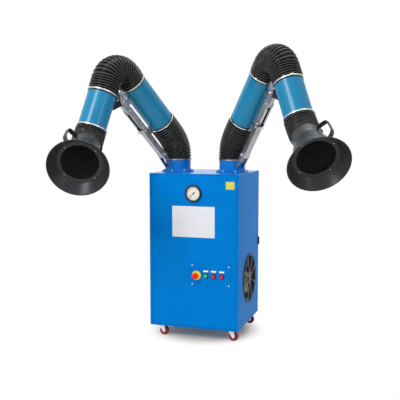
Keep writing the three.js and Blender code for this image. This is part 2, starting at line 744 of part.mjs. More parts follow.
function hose(bend, steps) {
  const ring = new THREE.Shape().absarc(0, 0, hoseOut, 0, 2 * Math.PI, false);
  ring.holes.push(new THREE.Path().absarc(0, 0, hoseIn, 0, 2 * Math.PI, true));
  return new THREE.ExtrudeGeometry(ring, {
    steps, extrudePath: new SleevedPath(bend, steps), bevelEnabled: false, curveSegments: HOSE_SIDES / 2,
  });
}

const flangeTop = CABINET_H + GAP + FLANGE_T;
const collarFoot = flangeTop + GAP;

function baseFlange() {
  const spigotR = DUCT_BORE + SPIGOT_WALL;
  const bottom = CABINET_H + GAP;
  return revolve([
    [DUCT_BORE, bottom], [FLANGE_R, bottom], [FLANGE_R, flangeTop - 1.5], [FLANGE_R - 1.5, flangeTop],
    [spigotR, flangeTop], [spigotR, bottom + SPIGOT_H], [DUCT_BORE, bottom + SPIGOT_H],
  ], FINE);
}

const lugFrom = BEAM_W / 2 + GAP;

// Swivel collar on the base flange, with two lugs that hold the foot of the beam
function swivelCollar() {
  const inner = TUBE_R - TUBE_WALL;
  const bore = clearHole(DUCT_BORE + SPIGOT_WALL, FINE);
  const footTop = collarFoot + COLLAR_FOOT_T;
  const collar = revolve([
    [bore, collarFoot], [COLLAR_FOOT_R, collarFoot], [COLLAR_FOOT_R, footTop], [TUBE_R, footTop],
    [TUBE_R, COLLAR_TOP], [inner, COLLAR_TOP], [inner, footTop], [bore, footTop],
  ], FINE);
  const lugTop = COLLAR_TOP - LUG_DROP;
  const outline = new THREE.Shape();
  outline.moveTo(inner - SHEET, lugTop - LUG_ROOT);
  outline.lineTo(hoseOut + SHEET, lugTop - LUG_ROOT);
  outline.absarc(SHOULDER_R, SHOULDER_Z, LUG_R, -30 * DEG, 150 * DEG, false);
  outline.lineTo(hoseOut + 2 * SHEET, lugTop);
  outline.lineTo(inner - SHEET, lugTop);
  outline.closePath();
  const holeR = clearHole(PIN_R, 12);
  const pinHole = along('y', rod(holeR, -BEAM_W, BEAM_W, 12)).translate(SHOULDER_R, 0, SHOULDER_Z);
  const lugs = [-1, 1].map((side) =>
    plateXZ(outline, LUG_T, 8).translate(0, side * (lugFrom + LUG_T / 2), 0));
  const core = rod(inner, collarFoot, COLLAR_TOP + LUG_R, FINE);
  return join(collar, cut(join(lugs[0], lugs[1]), pinHole, core));
}

const tubeUnder = TUBE_OFFSET - TUBE_R;
const tubeSpan = [LOWER_TUBE_START, BEAM_LENGTH + TUBE_HEAD];

function ductTube(from, to) {
  return along('x', pipe(TUBE_R - TUBE_WALL, TUBE_R, from, to, FINE)).translate(0, 0, TUBE_OFFSET);
}

// Lower half of the beam: closed box section with its pivot pin and the saddle under the tube
function lowerBeam() {
  const section = polygon([
    [-BEAM_H / 2, -BEAM_W / 2], [BEAM_H / 2, -BEAM_W / 2],
    [BEAM_H / 2, BEAM_W / 2], [-BEAM_H / 2, BEAM_W / 2],
  ]);
  const inH = BEAM_H / 2 - BEAM_WALL;
  const inW = BEAM_W / 2 - BEAM_WALL;
  section.holes.push(new THREE.Path([
    new THREE.Vector2(-inH, -inW), new THREE.Vector2(-inH, inW), new THREE.Vector2(inH, inW),
    new THREE.Vector2(inH, -inW),
  ]));
  const box = along('x', extrude(section, BEAM_SPLIT + LUG_R * 0.8)).translate(-LUG_R * 0.8, 0, 0);
  const pin = along('y', rod(PIN_R, -lugFrom - LUG_T - 4, lugFrom + LUG_T + 4, 12));
  const toe = BEAM_SPLIT - CHANNEL_OVERLAP - SADDLE_SETBACK;
  const to = toe - SADDLE_TOE;
  const from = to - SADDLE_L;
  const saddle = plateXZ(polygon([
    [from - SADDLE_TOE, BEAM_H / 2 - 1], [toe, BEAM_H / 2 - 1],
    [to, tubeUnder - GAP], [from, tubeUnder - GAP],
  ]), SADDLE_W);
  return join(box, pin, saddle);
}

// Upper half of the beam: open channel that sleeves over the box section
function upperChannel() {
  const inW = BEAM_W / 2 + GAP;
  const outW = inW + CHANNEL_WALL;
  const roof = BEAM_H / 2 + GAP;
  const section = polygon([
    [BEAM_H / 2, -outW], [-roof - CHANNEL_WALL, -outW], [-roof - CHANNEL_WALL, outW], [BEAM_H / 2, outW],
    [BEAM_H / 2, inW], [-roof, inW], [-roof, -inW], [BEAM_H / 2, -inW],
  ]);
  const from = BEAM_SPLIT - CHANNEL_OVERLAP;
  return along('x', extrude(section, CHANNEL_END - from)).translate(from, 0, 0);
}

// Gas spring in the channel, seated on the end of the box section
function gasSpring() {
  const seat = BEAM_SPLIT + GAP;
  const halfBase = [BEAM_W / 2 - 1, BEAM_H / 2 - 1];
  const base = block(seat, seat + SPRING_BASE, -halfBase[0], halfBase[0], -halfBase[1], halfBase[1]);
  const cylinderEnd = seat + SPRING_BASE + SPRING_SHARE * (bracketBack - seat - SPRING_BASE);
  const profile = [
    [0, seat + 1], [SPRING_R, seat + 1], [SPRING_R, cylinderEnd], [SPRING_ROD_R, cylinderEnd + 3],
    [SPRING_ROD_R, bracketBack - GAP], [0, bracketBack - GAP],
  ];
  return join(base, along('x', revolve(profile, 12)));
}

const bracketBack = CHANNEL_END - TONGUE_L;

// Rounded bracket at the head of the beam: it closes the channel and steadies the end of the tube
function elbowBracket() {
  const postTo = BEAM_LENGTH - SLEEVE - 4;
  const outline = new THREE.Shape();
  outline.moveTo(bracketBack, -BEAM_H / 2 + 4);
  outline.lineTo(BEAM_LENGTH - 6, -BRACKET_R);
  outline.absarc(BEAM_LENGTH, 0, BRACKET_R, -100 * DEG, 100 * DEG, false);
  outline.lineTo(postTo, tubeUnder - 16);
  outline.lineTo(postTo, tubeUnder - GAP);
  outline.lineTo(postTo - SADDLE_L, tubeUnder - GAP);
  outline.lineTo(CHANNEL_END + 4, BEAM_H / 2);
  outline.lineTo(bracketBack, BEAM_H / 2);
  outline.closePath();
  const plate = plateXZ(outline, BRACKET_W, 10);
  const tongue = block(bracketBack, CHANNEL_END + 6, -BEAM_W / 2, BEAM_W / 2, -BEAM_H / 2 + 4, BEAM_H / 2);
  const hole = along('y', rod(clearHole(PIN_R, 12), -BEAM_W, BEAM_W, 12)).translate(BEAM_LENGTH, 0, 0);
  return cut(join(plate, tongue), hole);
}

// Friction knuckle: two cheeks on the bracket's pin, carried up to a saddle under the upper tube
function elbowKnuckle() {
  const cheekIn = BRACKET_W / 2 + GAP;
  const saddleTo = SLEEVE + 6 + 1.6 * SADDLE_L;
  const outline = new THREE.Shape();
  outline.moveTo(-CHEEK_R, 0);
  outline.absarc(0, 0, CHEEK_R, Math.PI, 1.75 * Math.PI, false);
  outline.lineTo(saddleTo, tubeUnder - 16);
  outline.lineTo(saddleTo, tubeUnder - GAP);
  outline.lineTo(SLEEVE + 6, tubeUnder - GAP);
  outline.lineTo(CHEEK_R / 2, CHEEK_R + CHEEK_T);
  outline.closePath();
  const cheeks = [-1, 1].map((side) =>
    plateXZ(outline, CHEEK_T, 10).translate(0, side * (cheekIn + CHEEK_T / 2), 0));
  const width = 2 * (cheekIn + CHEEK_T);
  const bridgeTop = tubeUnder - GAP - 1;
  const bridge = block(saddleTo - SADDLE_L, saddleTo, -width / 2, width / 2, bridgeTop - SADDLE_T, bridgeTop);
  const pin = along('y', rod(PIN_R, -width / 2 - 6, width / 2 + 6, 12));
  return join(cheeks[0], cheeks[1], bridge, pin);
}

const yokeOut = (TUBE_R - TUBE_WALL) * Math.cos(Math.PI / FINE) - GAP;
const earOut = yokeOut - EAR_CLEARANCE;
const earIn = earOut - STRAP_T;
const strapOut = earIn - GAP;
const strapIn = strapOut - STRAP_T;

// Yoke: a ring that turns inside the end of the upper tube, with two straps to the hood's pivots
function hoodYoke() {
  const ringTo = -HOOD_PIVOT - SLEEVE - 4;
  const ringFrom = ringTo - YOKE_BAND;
  const ring = along('x', pipe(yokeOut - YOKE_BAND_T, yokeOut, ringFrom, ringTo, FINE));
  const straps = [-1, 1].map((side) => {
    const y = [side * strapIn, side * strapOut].sort((a, b) => a - b);
    const eye = along('y', rod(STRAP_W / 2, -y[1], -y[0], 12));
    const strap = join(block(ringFrom, 0, y[0], y[1], -STRAP_W / 2, STRAP_W / 2), eye);
    const footY = [side * strapIn, side * (yokeOut - YOKE_BAND_T / 2)].sort((a, b) => a - b);
    const foot = block(ringFrom, ringTo, footY[0], footY[1], -STRAP_W / 2, STRAP_W / 2);
    const hole = along('y', rod(clearHole(STRAP_PIN_R, 12), -y[1] - 1, -y[0] + 1, 12));
    return cut(join(strap, foot), hole);
  });
  return join(ring, ...straps);
}

const neckEnd = HOOD_D - HOOD_CONE_L - HOOD_FLARE_L;
const flareStart = HOOD_D - HOOD_FLARE_L;

// Hood: neck, cone and wide flared rim as one moulded shell, with two ears inside that reach the pivots
function hood() {
  const wall = HOOD_WALL;
  const shell = along('x', revolve([
    [TUBE_R - wall, HOOD_PIVOT], [TUBE_R, HOOD_PIVOT], [TUBE_R, neckEnd], [HOOD_CONE_R, flareStart],
    [HOOD_RIM_R - 2, HOOD_D - 6], [HOOD_RIM_R, HOOD_D - 3], [HOOD_RIM_R - 1, HOOD_D],
    [HOOD_RIM_R - 5, HOOD_D - 1],
    [HOOD_CONE_R - wall, flareStart + 2], [HOOD_CONE_R - wall, flareStart - 8], [TUBE_R - wall, neckEnd + 2],
  ], FINE));
  const blockFrom = HOOD_PIVOT + SLEEVE + 6;
  const blockTo = blockFrom + EAR_BLOCK;
  const inWall = TUBE_R - wall * 0.75;
  const ears = [-1, 1].map((side) => {
    const outline = polygon([
      [0, side * earIn], [blockTo, side * earIn], [blockTo, side * inWall], [blockFrom, side * inWall],
      [blockFrom, side * earOut], [0, side * earOut],
    ]);
    const ear = extrude(outline, STRAP_W).translate(0, 0, -STRAP_W / 2);
    const y = [side * earIn, side * earOut].sort((a, b) => a - b);
    const eye = along('y', rod(STRAP_W / 2, -y[1], -y[0], 12));
    const pinY = [side * (strapIn + 0.5), side * earOut].sort((a, b) => a - b);
    const pin = along('y', rod(STRAP_PIN_R, -pinY[1], -pinY[0], 12));
    return join(ear, eye, pin);
  });
  return join(shell, ...ears);
}

// Grab handle: a flat bar bent into a loop that stands on the neck and the cone of the hood
function hoodHandle() {
  const flat = Math.cos(Math.PI / FINE);
  const coneSlope = (HOOD_CONE_R - TUBE_R) / HOOD_CONE_L;
  const footR = TUBE_R + Math.max(HANDLE_TO + HANDLE_T / 2 - neckEnd, 0) * coneSlope;
  const top = TUBE_R + HANDLE_H;
  const start = new THREE.Vector3(HANDLE_FROM, 0, TUBE_R * flat + GAP);
  const end = new THREE.Vector3(HANDLE_TO, 0, footR * flat + GAP);
  const path = new THREE.CubicBezierCurve3(
    start, new THREE.Vector3(HANDLE_FROM, 0, top + HANDLE_SWELL),
    new THREE.Vector3(HANDLE_TO, 0, top + HANDLE_SWELL), end);
  const section = new THREE.Shape();
  const w = HANDLE_W / 2;
  const t = HANDLE_T / 2;
  const corner = 3;
  section.moveTo(-w, -t + corner);
  section.lineTo(-w + corner, -t);
  section.lineTo(w - corner, -t);
  section.lineTo(w, -t + corner);
  section.lineTo(w, t - corner);
  section.lineTo(w - corner, t);
  section.lineTo(-w + corner, t);
  section.lineTo(-w, t - corner);
  section.closePath();
  return new THREE.ExtrudeGeometry(section, { steps: 9, extrudePath: path, bevelEnabled: false });
}

// Guard mesh just inside the flare
function hoodMesh() {
  const outer = HOOD_CONE_R - HOOD_WALL - GAP;
  const at = flareStart - MESH_T;
  const ring = along('x', pipe(outer - MESH_RING, outer, at, at + MESH_T, FINE));
  const reach = outer - MESH_RING / 2;
  const bars = [];
  for (let i = 0; i < MESH_BARS; i += 1) {
    const offset = reach * ((2 * (i + 1)) / (MESH_BARS + 1) - 1);
    const chord = Math.sqrt(reach * reach - offset * offset);
    bars.push(block(at, at + MESH_T, -chord, chord, offset - MESH_T / 2, offset + MESH_T / 2));
    bars.push(block(at, at + MESH_T, offset - MESH_T / 2, offset + MESH_T / 2, -chord, chord));
  }
  return join(ring, ...bars);
}

// Hose from the collar to the foot of the lower tube, in the arm's own plane
function shoulderHose(slope) {
  const turn = Math.PI / 2 - slope;
  const foot = new THREE.Vector3(0, 0, COLLAR_TOP);
  const along1 = new THREE.Vector3(Math.cos(slope), 0, Math.sin(slope));
  const normal = new THREE.Vector3(-Math.sin(slope), 0, Math.cos(slope));
  const head = new THREE.Vector3(SHOULDER_R, 0, SHOULDER_Z)
    .addScaledVector(along1, LOWER_TUBE_START).addScaledVector(normal, TUBE_OFFSET);
  const reach = head.distanceTo(foot) * (0.36 + 0.04 * turn);
  const bend = new THREE.CubicBezierCurve3(foot, foot.clone().add(new THREE.Vector3(0, 0, reach)),
    head.clone().addScaledVector(along1, -reach), head);
  return hose(bend, SHOULDER_STEPS);
}

function buildCabinet() {
  place(model, 'base_frame', baseFrame(), BLUE);
  place(model, 'left_panel', sidePanel(-1), BLUE);
  place(model, 'right_panel', rightPanel(), BLUE);
  place(model, 'rear_panel', block(-halfW, halfW, halfD - SHEET, halfD, panelBottom, panelTop), BLUE);
  place(model, 'top_panel', topPanel(), BLUE);
  place(model, 'filter_shelf', filterShelf(), ZINC);
  place(model, 'filter_cartridge', filterCartridge(), PAPER);
  place(model, 'blower_motor', blowerMotor(), DARK);
  place(model, 'fan_impeller', impeller(), ZINC);
  place(model, 'fan_guard', fanGuard(), DARK);
}

function buildDoor() {
  place(model, 'front_door', frontDoor(), BLUE);
  place(model, 'control_plate', controlPlate(), BLUE);
  place(model, 'estop_base', estopBase(), YELLOW);
  place(model, 'estop_button', estopButton(), RED);
  place(model, 'start_button', pushButton(BUTTON_X[0]), GREEN);
  place(model, 'stop_button', pushButton(BUTTON_X[1]), RED);
  place(model, 'reset_button', pushButton(BUTTON_X[2]), RED);
  place(model, 'gauge_case', gaugeCase(), DARK);
  const lens = rod(lensR, lensFrom, lensFrom + GAUGE_LENS_T, FINE);
  place(model, 'gauge_lens', onDoor(lens, GAUGE_X, GAUGE_Z), GLASS);
  place(model, 'gauge_needle', gaugeNeedle(), DARK);
}

function buildCasters() {
  for (const { name, x, y } of casterPoints) {
    const stand = group(model, x, y, 0);
    place(stand, `${name}_caster_fork`, casterFork(), ZINC);
    place(stand, `${name}_caster_wheel`, casterWheel(), WHEEL_RED);
  }
}

function buildArm({ name, side, swivel, lower, upper, tilt, turn }) {
  const foot = group(model, side * ARM_X, ARM_Y, 0);
  foot.rotation.z = -Math.PI / 2 + side * swivel * DEG;
  place(foot, `${name}_base_flange`, baseFlange(), DARK);
  place(foot, `${name}_swivel_collar`, swivelCollar(), BLUE);
  place(foot, `${name}_shoulder_hose`, shoulderHose(lower * DEG), RUBBER);

  const link = group(foot, SHOULDER_R, 0, SHOULDER_Z);
  link.rotation.y = -lower * DEG;
  place(link, `${name}_lower_tube`, ductTube(...tubeSpan), TUBE_BLUE);
  place(link, `${name}_lower_beam`, lowerBeam(), ALUMINIUM);
  place(link, `${name}_upper_channel`, upperChannel(), ALUMINIUM);
  place(link, `${name}_gas_spring`, gasSpring(), DARK);
  place(link, `${name}_elbow_bracket`, elbowBracket(), ALUMINIUM);

  const elbow = group(link, BEAM_LENGTH, 0, 0);
  const angle = (lower + upper) * DEG;
  const slack = (TUBE_OFFSET - ELBOW_R) * Math.tan(angle / 2);
  const elbowHose = hose(new Bend(angle, ELBOW_R, slack - TUBE_HEAD, slack), ELBOW_STEPS);
  place(elbow, `${name}_elbow_hose`, elbowHose.translate(slack, 0, TUBE_OFFSET - ELBOW_R), RUBBER);
  const reach = group(elbow, 0, 0, 0);
  reach.rotation.y = angle;
  place(reach, `${name}_elbow_knuckle`, elbowKnuckle(), DARK);
  place(reach, `${name}_upper_tube`, ductTube(0, UPPER_TUBE_LENGTH), TUBE_BLUE);

  const wrist = group(reach, UPPER_TUBE_LENGTH + HOOD_PIVOT, 0, TUBE_OFFSET);
  wrist.rotation.x = side * turn * DEG;
  place(wrist, `${name}_hood_yoke`, hoodYoke(), DARK);
  const hoodBend = new Bend(tilt * DEG, HOOD_PIVOT / Math.tan((tilt * DEG) / 2));
  const hoodHose = hose(hoodBend, HOOD_STEPS).translate(-HOOD_PIVOT, 0, -hoodBend.radius);
  place(wrist, `${name}_hood_hose`, hoodHose.rotateX(Math.PI), RUBBER);
  const head = group(wrist, 0, 0, 0);
  head.rotation.y = -tilt * DEG;
  place(head, `${name}_hood`, hood(), CHARCOAL);
  place(head, `${name}_hood_handle`, hoodHandle().rotateX(-side * HANDLE_ROLL * DEG), CHARCOAL);
  place(head, `${name}_hood_mesh`, hoodMesh(), DARK);
}

buildCabinet();
buildDoor();
buildCasters();
ARMS.forEach(buildArm);

export default model;
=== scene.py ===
import math

import bmesh
import bpy
from mathutils import Matrix, Vector


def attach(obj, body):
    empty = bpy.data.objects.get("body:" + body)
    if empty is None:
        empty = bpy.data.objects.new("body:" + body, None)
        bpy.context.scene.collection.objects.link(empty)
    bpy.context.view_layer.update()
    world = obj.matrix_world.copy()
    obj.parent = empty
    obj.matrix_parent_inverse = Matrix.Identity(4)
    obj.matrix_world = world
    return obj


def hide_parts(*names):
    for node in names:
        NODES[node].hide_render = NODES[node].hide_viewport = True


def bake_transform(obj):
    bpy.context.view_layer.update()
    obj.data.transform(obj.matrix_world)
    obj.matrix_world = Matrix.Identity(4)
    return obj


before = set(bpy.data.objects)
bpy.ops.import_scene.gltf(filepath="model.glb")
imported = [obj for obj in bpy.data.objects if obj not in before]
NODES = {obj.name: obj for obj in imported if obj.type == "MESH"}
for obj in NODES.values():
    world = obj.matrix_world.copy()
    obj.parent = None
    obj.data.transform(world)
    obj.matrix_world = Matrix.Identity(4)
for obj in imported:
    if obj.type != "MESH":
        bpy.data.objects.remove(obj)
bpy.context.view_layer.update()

# Sizes are in metres and angles in degrees, apart from the camera, whose angles are in radians. A name that
# ends in XS, YS or ZS holds places or a range along an axis. SEG is the number of sides of a round piece, and
# an edge that turns by more than SHARP isn't smoothed.
SEG, SHARP = 72, 32
EDGE, SMALL_EDGE, FINE_EDGE, BEAM_EDGE = 0.0008, 0.0006, 0.0005, 0.0012

# Cabinet
HALF_W, HALF_D, HEIGHT = 0.300, 0.275, 1.000
FRONT = -HALF_D
FLOOR_Z = -0.080
OUTLET_Y, OUTLET_Z = 0.010, 0.293
OUTLET_IN, OUTLET_OUT, LIP_THICK = 0.1462, 0.1605, 0.0012
GUARD_R, GUARD_OUT, BAR_OUT = 0.163, 0.0029, 0.0026
GUARD_RINGS, GUARD_BARS = 9, 4
RIM_WIRE, RING_WIRE, BAR_WIRE = 0.0024, 0.0013, 0.0015
HUB_CAP_R, HUB_CAP_BACK = 0.030, 0.2813
SEAL_HALF = 0.2840
SEAL_YS = (FRONT + 0.0012, FRONT + 0.0100)
SEAL_ZS = ((0.0046, 0.0094), (0.9916, 0.9964))
# Black strip beside the door: painted shade that stands in for the shadow in the gap
GAP_SHADE_XS = (0.2848, 0.2872)
GAP_SHADE_YS = (FRONT + 0.0016, FRONT + 0.0070)
GAP_SHADE_ZS = (0.012, 0.989)
PANEL_SCREW_R = 0.0045
TOP_SCREW_X, TOP_SCREW_YS = 0.286, (-0.2, 0.0, 0.2)
SIDE_SCREW_Y, SIDE_SCREW_ZS = 0.261, (0.06, 0.30, 0.66, 0.94)
LATCH_YS, LATCH_ZS = (0.252, 0.273), (0.474, 0.540)
LATCH_GRIP_YS, LATCH_GRIP_ZS = (0.2585, 0.2725), (0.482, 0.532)
LATCH_SCREW_Y, LATCH_SCREW_ZS = 0.2560, (0.478, 0.536)

# Door
PLATE_FACE = 0.0023
PLATE_SCREW_XS, PLATE_SCREW_ZS = (-0.007, 0.237), (0.411, 0.290)
BUTTON_Z, ESTOP_X = 0.347, 0.022
BEZEL_IN, BEZEL_R = 0.0125, 0.0168
CAP_STEM_R, CAP_R = 0.0050, 0.0118
ESTOP_BORE, ESTOP_BARREL, ESTOP_PLATE_R = 0.0095, 0.0155, 0.0300
MUSHROOM_STEM_R, MUSHROOM_R = 0.0090, 0.0200
LABEL_HALF, LABEL_ZS = 0.0165, (0.3715, 0.3815)
SHEET_XS, SHEET_ZS = (-0.1425, 0.1425), (0.592, 0.792)
STICKER_XS, STICKER_ZS = (0.2150, 0.2720), (0.905, 0.953)
HINGE_X, HINGE_Y, HINGE_R = 0.2955, -0.2798, 0.0048
HINGE_ZS = (0.116, 0.925)
KNUCKLE_HALF, LEAF_NEAR, LEAF_FAR = 0.0128, 0.0134, 0.0242
LEAF_XS, LEAF_BACK = (0.2912, 0.2998), -0.2752

# Pressure gauge: radii, and depths along the way out of the door
GAUGE_X, GAUGE_Z = 0.0, 0.874
GAUGE_R, BARREL_R, LENS_R, POCKET_R, BOSS_R = 0.0550, 0.0477, 0.0475, 0.0441, 0.0025
BARREL_BACK, LENS_BACK, LENS_FACE, BOSS_FACE = -0.0280, 0.0091, 0.0119, 0.0030
DIAL_IN, DIAL_R, DIAL_BACK, DIAL_FACE = 0.0030, 0.0440, -0.0040, -0.0034
DIAL_START, DIAL_SWEEP = 225, 270
DIAL_TICKS, TICKS_PER_NUMBER, NUMBER_STEP = 30, 5, 2
TICK_END, LONG_TICK, SHORT_TICK, TICK_THICK = 0.0405, 0.0335, 0.0365, 0.0003
NUMBER_R, NUMBER_SIZE = 0.0275, 0.0085
NEEDLE_TIP, NEEDLE_HUB_R, NEEDLE_TAIL, NEEDLE_REST = 0.0355, 0.0060, 0.0138, -135

# Casters
CASTER_X, CASTER_Y = 0.238, 0.220
TRAIL, AXLE_Z = 0.018, -0.0485
CASTER_PLATE_X, CASTER_PLATE_Y, CASTER_PLATE_ZS = 0.042, 0.034, (-0.0071, -0.0038)
PLATE_BOLT_X, PLATE_BOLT_Y, PLATE_BOLT_Z = 0.034, 0.025, -0.0070
RACE_R, RACE_LOW, RACE_TOP = 0.022, -0.0123, -0.0073
LEG_IN, LEG_OUT, LEG_R, LEG_TOP = 0.0137, 0.0167, 0.0115, -0.0083
LEG_XS = (-0.0176, 0.0215)
WHEEL_HALF, WHEEL_R, TYRE_IN, HUB_R, HUB_BORE = 0.0125, 0.0315, 0.0205, 0.0204, 0.0046

# Arms: flange, collar, tubes, beams and joints
ARM_X, ARM_Y = 0.190, -0.030
FLANGE_IN, FLANGE_LIP, FLANGE_R = 0.072, 0.077, 0.108
FLANGE_BOLTS, FLANGE_BOLT_R = 8, 0.1048
COLLAR_IN, COLLAR_R, COLLAR_TOP = 0.0785, 0.0995, 1.088
TUBE_R, TUBE_WALL = 0.086, 0.0025
SHOULDER_R, SHOULDER_Z = 0.150, 1.118
BEAM, OFFSET, LOWER_START, UPPER_LENGTH = 0.484, 0.151, 0.140, 0.232
TUBE_HEAD, TUBE_TAIL, ELBOW_R = 0.030, 0.008, 0.097
LUG_R, LUG_THICK, LUG_YS = 0.018, 0.006, (-0.0263, 0.0203)
LUG_BOLT_X, LUG_BOLT_ZS = 0.0915, (1.0375, 1.0505)
SADDLE_XS, CHANNEL_END_X, BEAM_SIDE = (0.228, 0.256), 0.404, 0.0233
SHOULDER_BOLT_Y, ELBOW_BOLT_Y = 0.0263, 0.0277
COVER_REACH, COVER_LEAN, COVER_TIP_R, COVER_R = 0.050, 35, 0.018, 0.023
COVER_YS, COVER_THICK = (-0.0262, 0.0218), 0.0044
LIP_XS, LIP_IN, LIP_OUT, LIP_ZS = (0.264, 0.398), 0.0118, 0.0200, (-0.0180, -0.0162)
KNOB_X, KNOB_Z = 0.242, -0.0213
ARMS = (
    # name, side, swivel, slope of the lower tube, slope of the upper tube, tilt and turn of the hood
    ("left", -1, 25.0, 43.4, 68.1, 48.6, 52.0),
    ("right", 1, 48.0, 51.2, 63.6, 33.0, 33.0),
)

# Hoses and their clamps
HOSE_IN, HOSE_R, SLEEVE, SHORT_SLEEVE = 0.0864, 0.0880, 0.024, 0.010
RIB, LOW_RIB, RIB_SINK, RIB_FADE = 0.0078, 0.0056, 0.0034, 0.006
PITCH, WIDE_PITCH, STEPS_PER_RIB = 0.0155, 0.0235, 9
CLAMP_R, CLAMP_HALF, CLAMP_IN, CLAMP_NEAR = 0.0884, 0.0036, 0.012, 0.005

# Hoods
HOOD_PIVOT, HOOD_D, RIM_R, CONE_R, HOOD_WALL = 0.070, 0.369, 0.176, 0.134, 0.003
FLARE, NECK_END, NECK_LAP = 0.305, 0.169, 0.016
EAR_IN, EAR_OUT, EAR_FOOT, EAR_R, EAR_END = 0.0764, 0.0804, 0.0838, 0.008, 0.128
EAR_FOOT_XS, PIN_IN, PIN_OUT, PIN_R = (0.100, 0.130), 0.0726, 0.0780, 0.0039
HANDLE_ROLL, HANDLE_ROUND, HANDLE_WIDE, HANDLE_DEEP = 56.25, 0.026, 0.0145, 0.0042
HANDLE_CORNERS = ((0.104, 0.0846), (0.113, 0.1475), (0.224, 0.1475), (0.246, 0.1128))
RING_BACK, RING_THICK, RING_R, RING_IN, RIVET_R = FLARE - 0.004, 0.0040, 0.1306, 0.1090, 0.1210
MESH_WIRES, MESH_WIRE, MESH_NEAR, MESH_FAR = 27, 0.0007, 0.0012, 0.0024

# Studio: the floor's shadow fades to white between two distances from the middle of the cabinet
FLOOR_R, FLOOR_COLOUR = 9.0, (0.87, 0.79, 0.66, 1)
SHADOW_NEAR, SHADOW_FAR, SHADOW_PALE = 0.24, 0.42, 0.06
WHITE_LIGHT, WORLD_STRENGTH = (1, 1, 1, 1), 0.53
LAMPS = (
    # name, place, aim, width, height, watts
    ("key", (-1.35, -4.1, 3.5), (0, -0.4, 1.0), 0.9, 2.4, 136),
    ("fill", (3.8, -2.4, 2.2), (0.2, -0.3, 0.8), 0.8, 2.0, 17),
    ("top", (0.2, 0.6, 4.2), (0, -0.2, 1.0), 2.4, 2.4, 55),
)
CAMERA_PLACE, CAMERA_ANGLES = (1.371, -4.403, 1.252), (math.pi / 2 - 0.0961, 0, 0.31084)
SENSOR_MM, LENS_MM = 36.0, 61.65


# Node trees
def new_material(name):
    mat = bpy.data.materials.new(name)
    mat.use_nodes = True
    tree = mat.node_tree
    shader = tree.nodes["Principled BSDF"]
    return mat, tree, shader


def noise(tree, scale, detail=3.0, stretch=(1, 1, 1)):
    coords = tree.nodes.new("ShaderNodeTexCoord")
    mapping = tree.nodes.new("ShaderNodeMapping")
    mapping.inputs["Scale"].default_value = stretch
    node = tree.nodes.new("ShaderNodeTexNoise")
    node.inputs["Scale"].default_value = scale
    node.inputs["Detail"].default_value = detail
    tree.links.new(coords.outputs["Object"], mapping.inputs["Vector"])
    tree.links.new(mapping.outputs["Vector"], node.inputs["Vector"])
    return node.outputs["Fac"]


def ramp(tree, factor, stops):
    node = tree.nodes.new("ShaderNodeValToRGB")
    while len(node.color_ramp.elements) < len(stops):
        node.color_ramp.elements.new(0.5)
    for element, (place, colour) in zip(node.color_ramp.elements, stops):
        element.position = place
        element.color = (*colour, 1.0)
    tree.links.new(factor, node.inputs["Fac"])
    return node.outputs["Color"]


def map_range(tree, value, from_low, from_high, to_low=0.0, to_high=1.0, kind="LINEAR"):
    node = tree.nodes.new("ShaderNodeMapRange")
    node.interpolation_type = kind
    node.inputs["From Min"].default_value = from_low
    node.inputs["From Max"].default_value = from_high
    node.inputs["To Min"].default_value = to_low
    node.inputs["To Max"].default_value = to_high
    tree.links.new(value, node.inputs["Value"])
    return node.outputs["Result"]


def combine(tree, operation, first, second):
    node = tree.nodes.new("ShaderNodeMath")
    node.operation = operation
    tree.links.new(first, node.inputs[0])
    tree.links.new(second, node.inputs[1])
    return node.outputs["Value"]


# Noise is seldom outside 0.3 to 0.7, so that range covers the whole spread
def spread(tree, factor, low, high):
    return map_range(tree, factor, 0.3, 0.7, low, high)


def mottled(tree, factor, colour, vary):
    return ramp(tree, factor, [(0.3, shade(colour, 1 - vary)), (0.7, shade(colour, 1 + vary))])


def pointiness(tree):
    return tree.nodes.new("ShaderNodeNewGeometry").outputs["Pointiness"]


def shade(colour, share):
    return tuple(min(1.0, c * share) for c in colour)


def finish_surface(tree, shader, height, strength, distance=0.0004):
    node = tree.nodes.new("ShaderNodeBump")
    node.inputs["Strength"].default_value = strength
    node.inputs["Distance"].default_value = distance
    tree.links.new(height, node.inputs["Height"])
    tree.links.new(node.outputs["Normal"], shader.inputs["Normal"])


# Powder coat: faint orange peel, cloudy gloss and paler worn edges
def paint(name, colour, rough, gloss, peel=0.08, wear=0.25):
    mat, tree, shader = new_material(name)
    cloud = noise(tree, 7.0)
    mix = tree.nodes.new("ShaderNodeMix")
    mix.data_type = "RGBA"
    mix.inputs["B"].default_value = (*shade(colour, 1.5), 1.0)
    tree.links.new(map_range(tree, pointiness(tree), 0.53, 0.62, 0.0, wear), mix.inputs["Factor"])
    tree.links.new(mottled(tree, cloud, colour, 0.06), mix.inputs["A"])
    tree.links.new(mix.outputs["Result"], shader.inputs["Base Color"])
    tree.links.new(spread(tree, cloud, rough - 0.04, rough + 0.05), shader.inputs["Roughness"])
    shader.inputs["Specular IOR Level"].default_value = gloss
    finish_surface(tree, shader, noise(tree, 420.0, 1.0), peel, 0.0006)
    return mat


# Plastic, paper and other plain surfaces with a fine grain
def moulded(name, colour, rough, grain=900.0, depth=0.15, vary=0.15, gloss=0.35):
    mat, tree, shader = new_material(name)
    cloud = noise(tree, 18.0)
    tree.links.new(mottled(tree, cloud, colour, vary), shader.inputs["Base Color"])
    tree.links.new(spread(tree, cloud, rough - 0.06, rough + 0.06), shader.inputs["Roughness"])
    shader.inputs["Specular IOR Level"].default_value = gloss
    finish_surface(tree, shader, noise(tree, grain, 2.0), depth)
    return mat


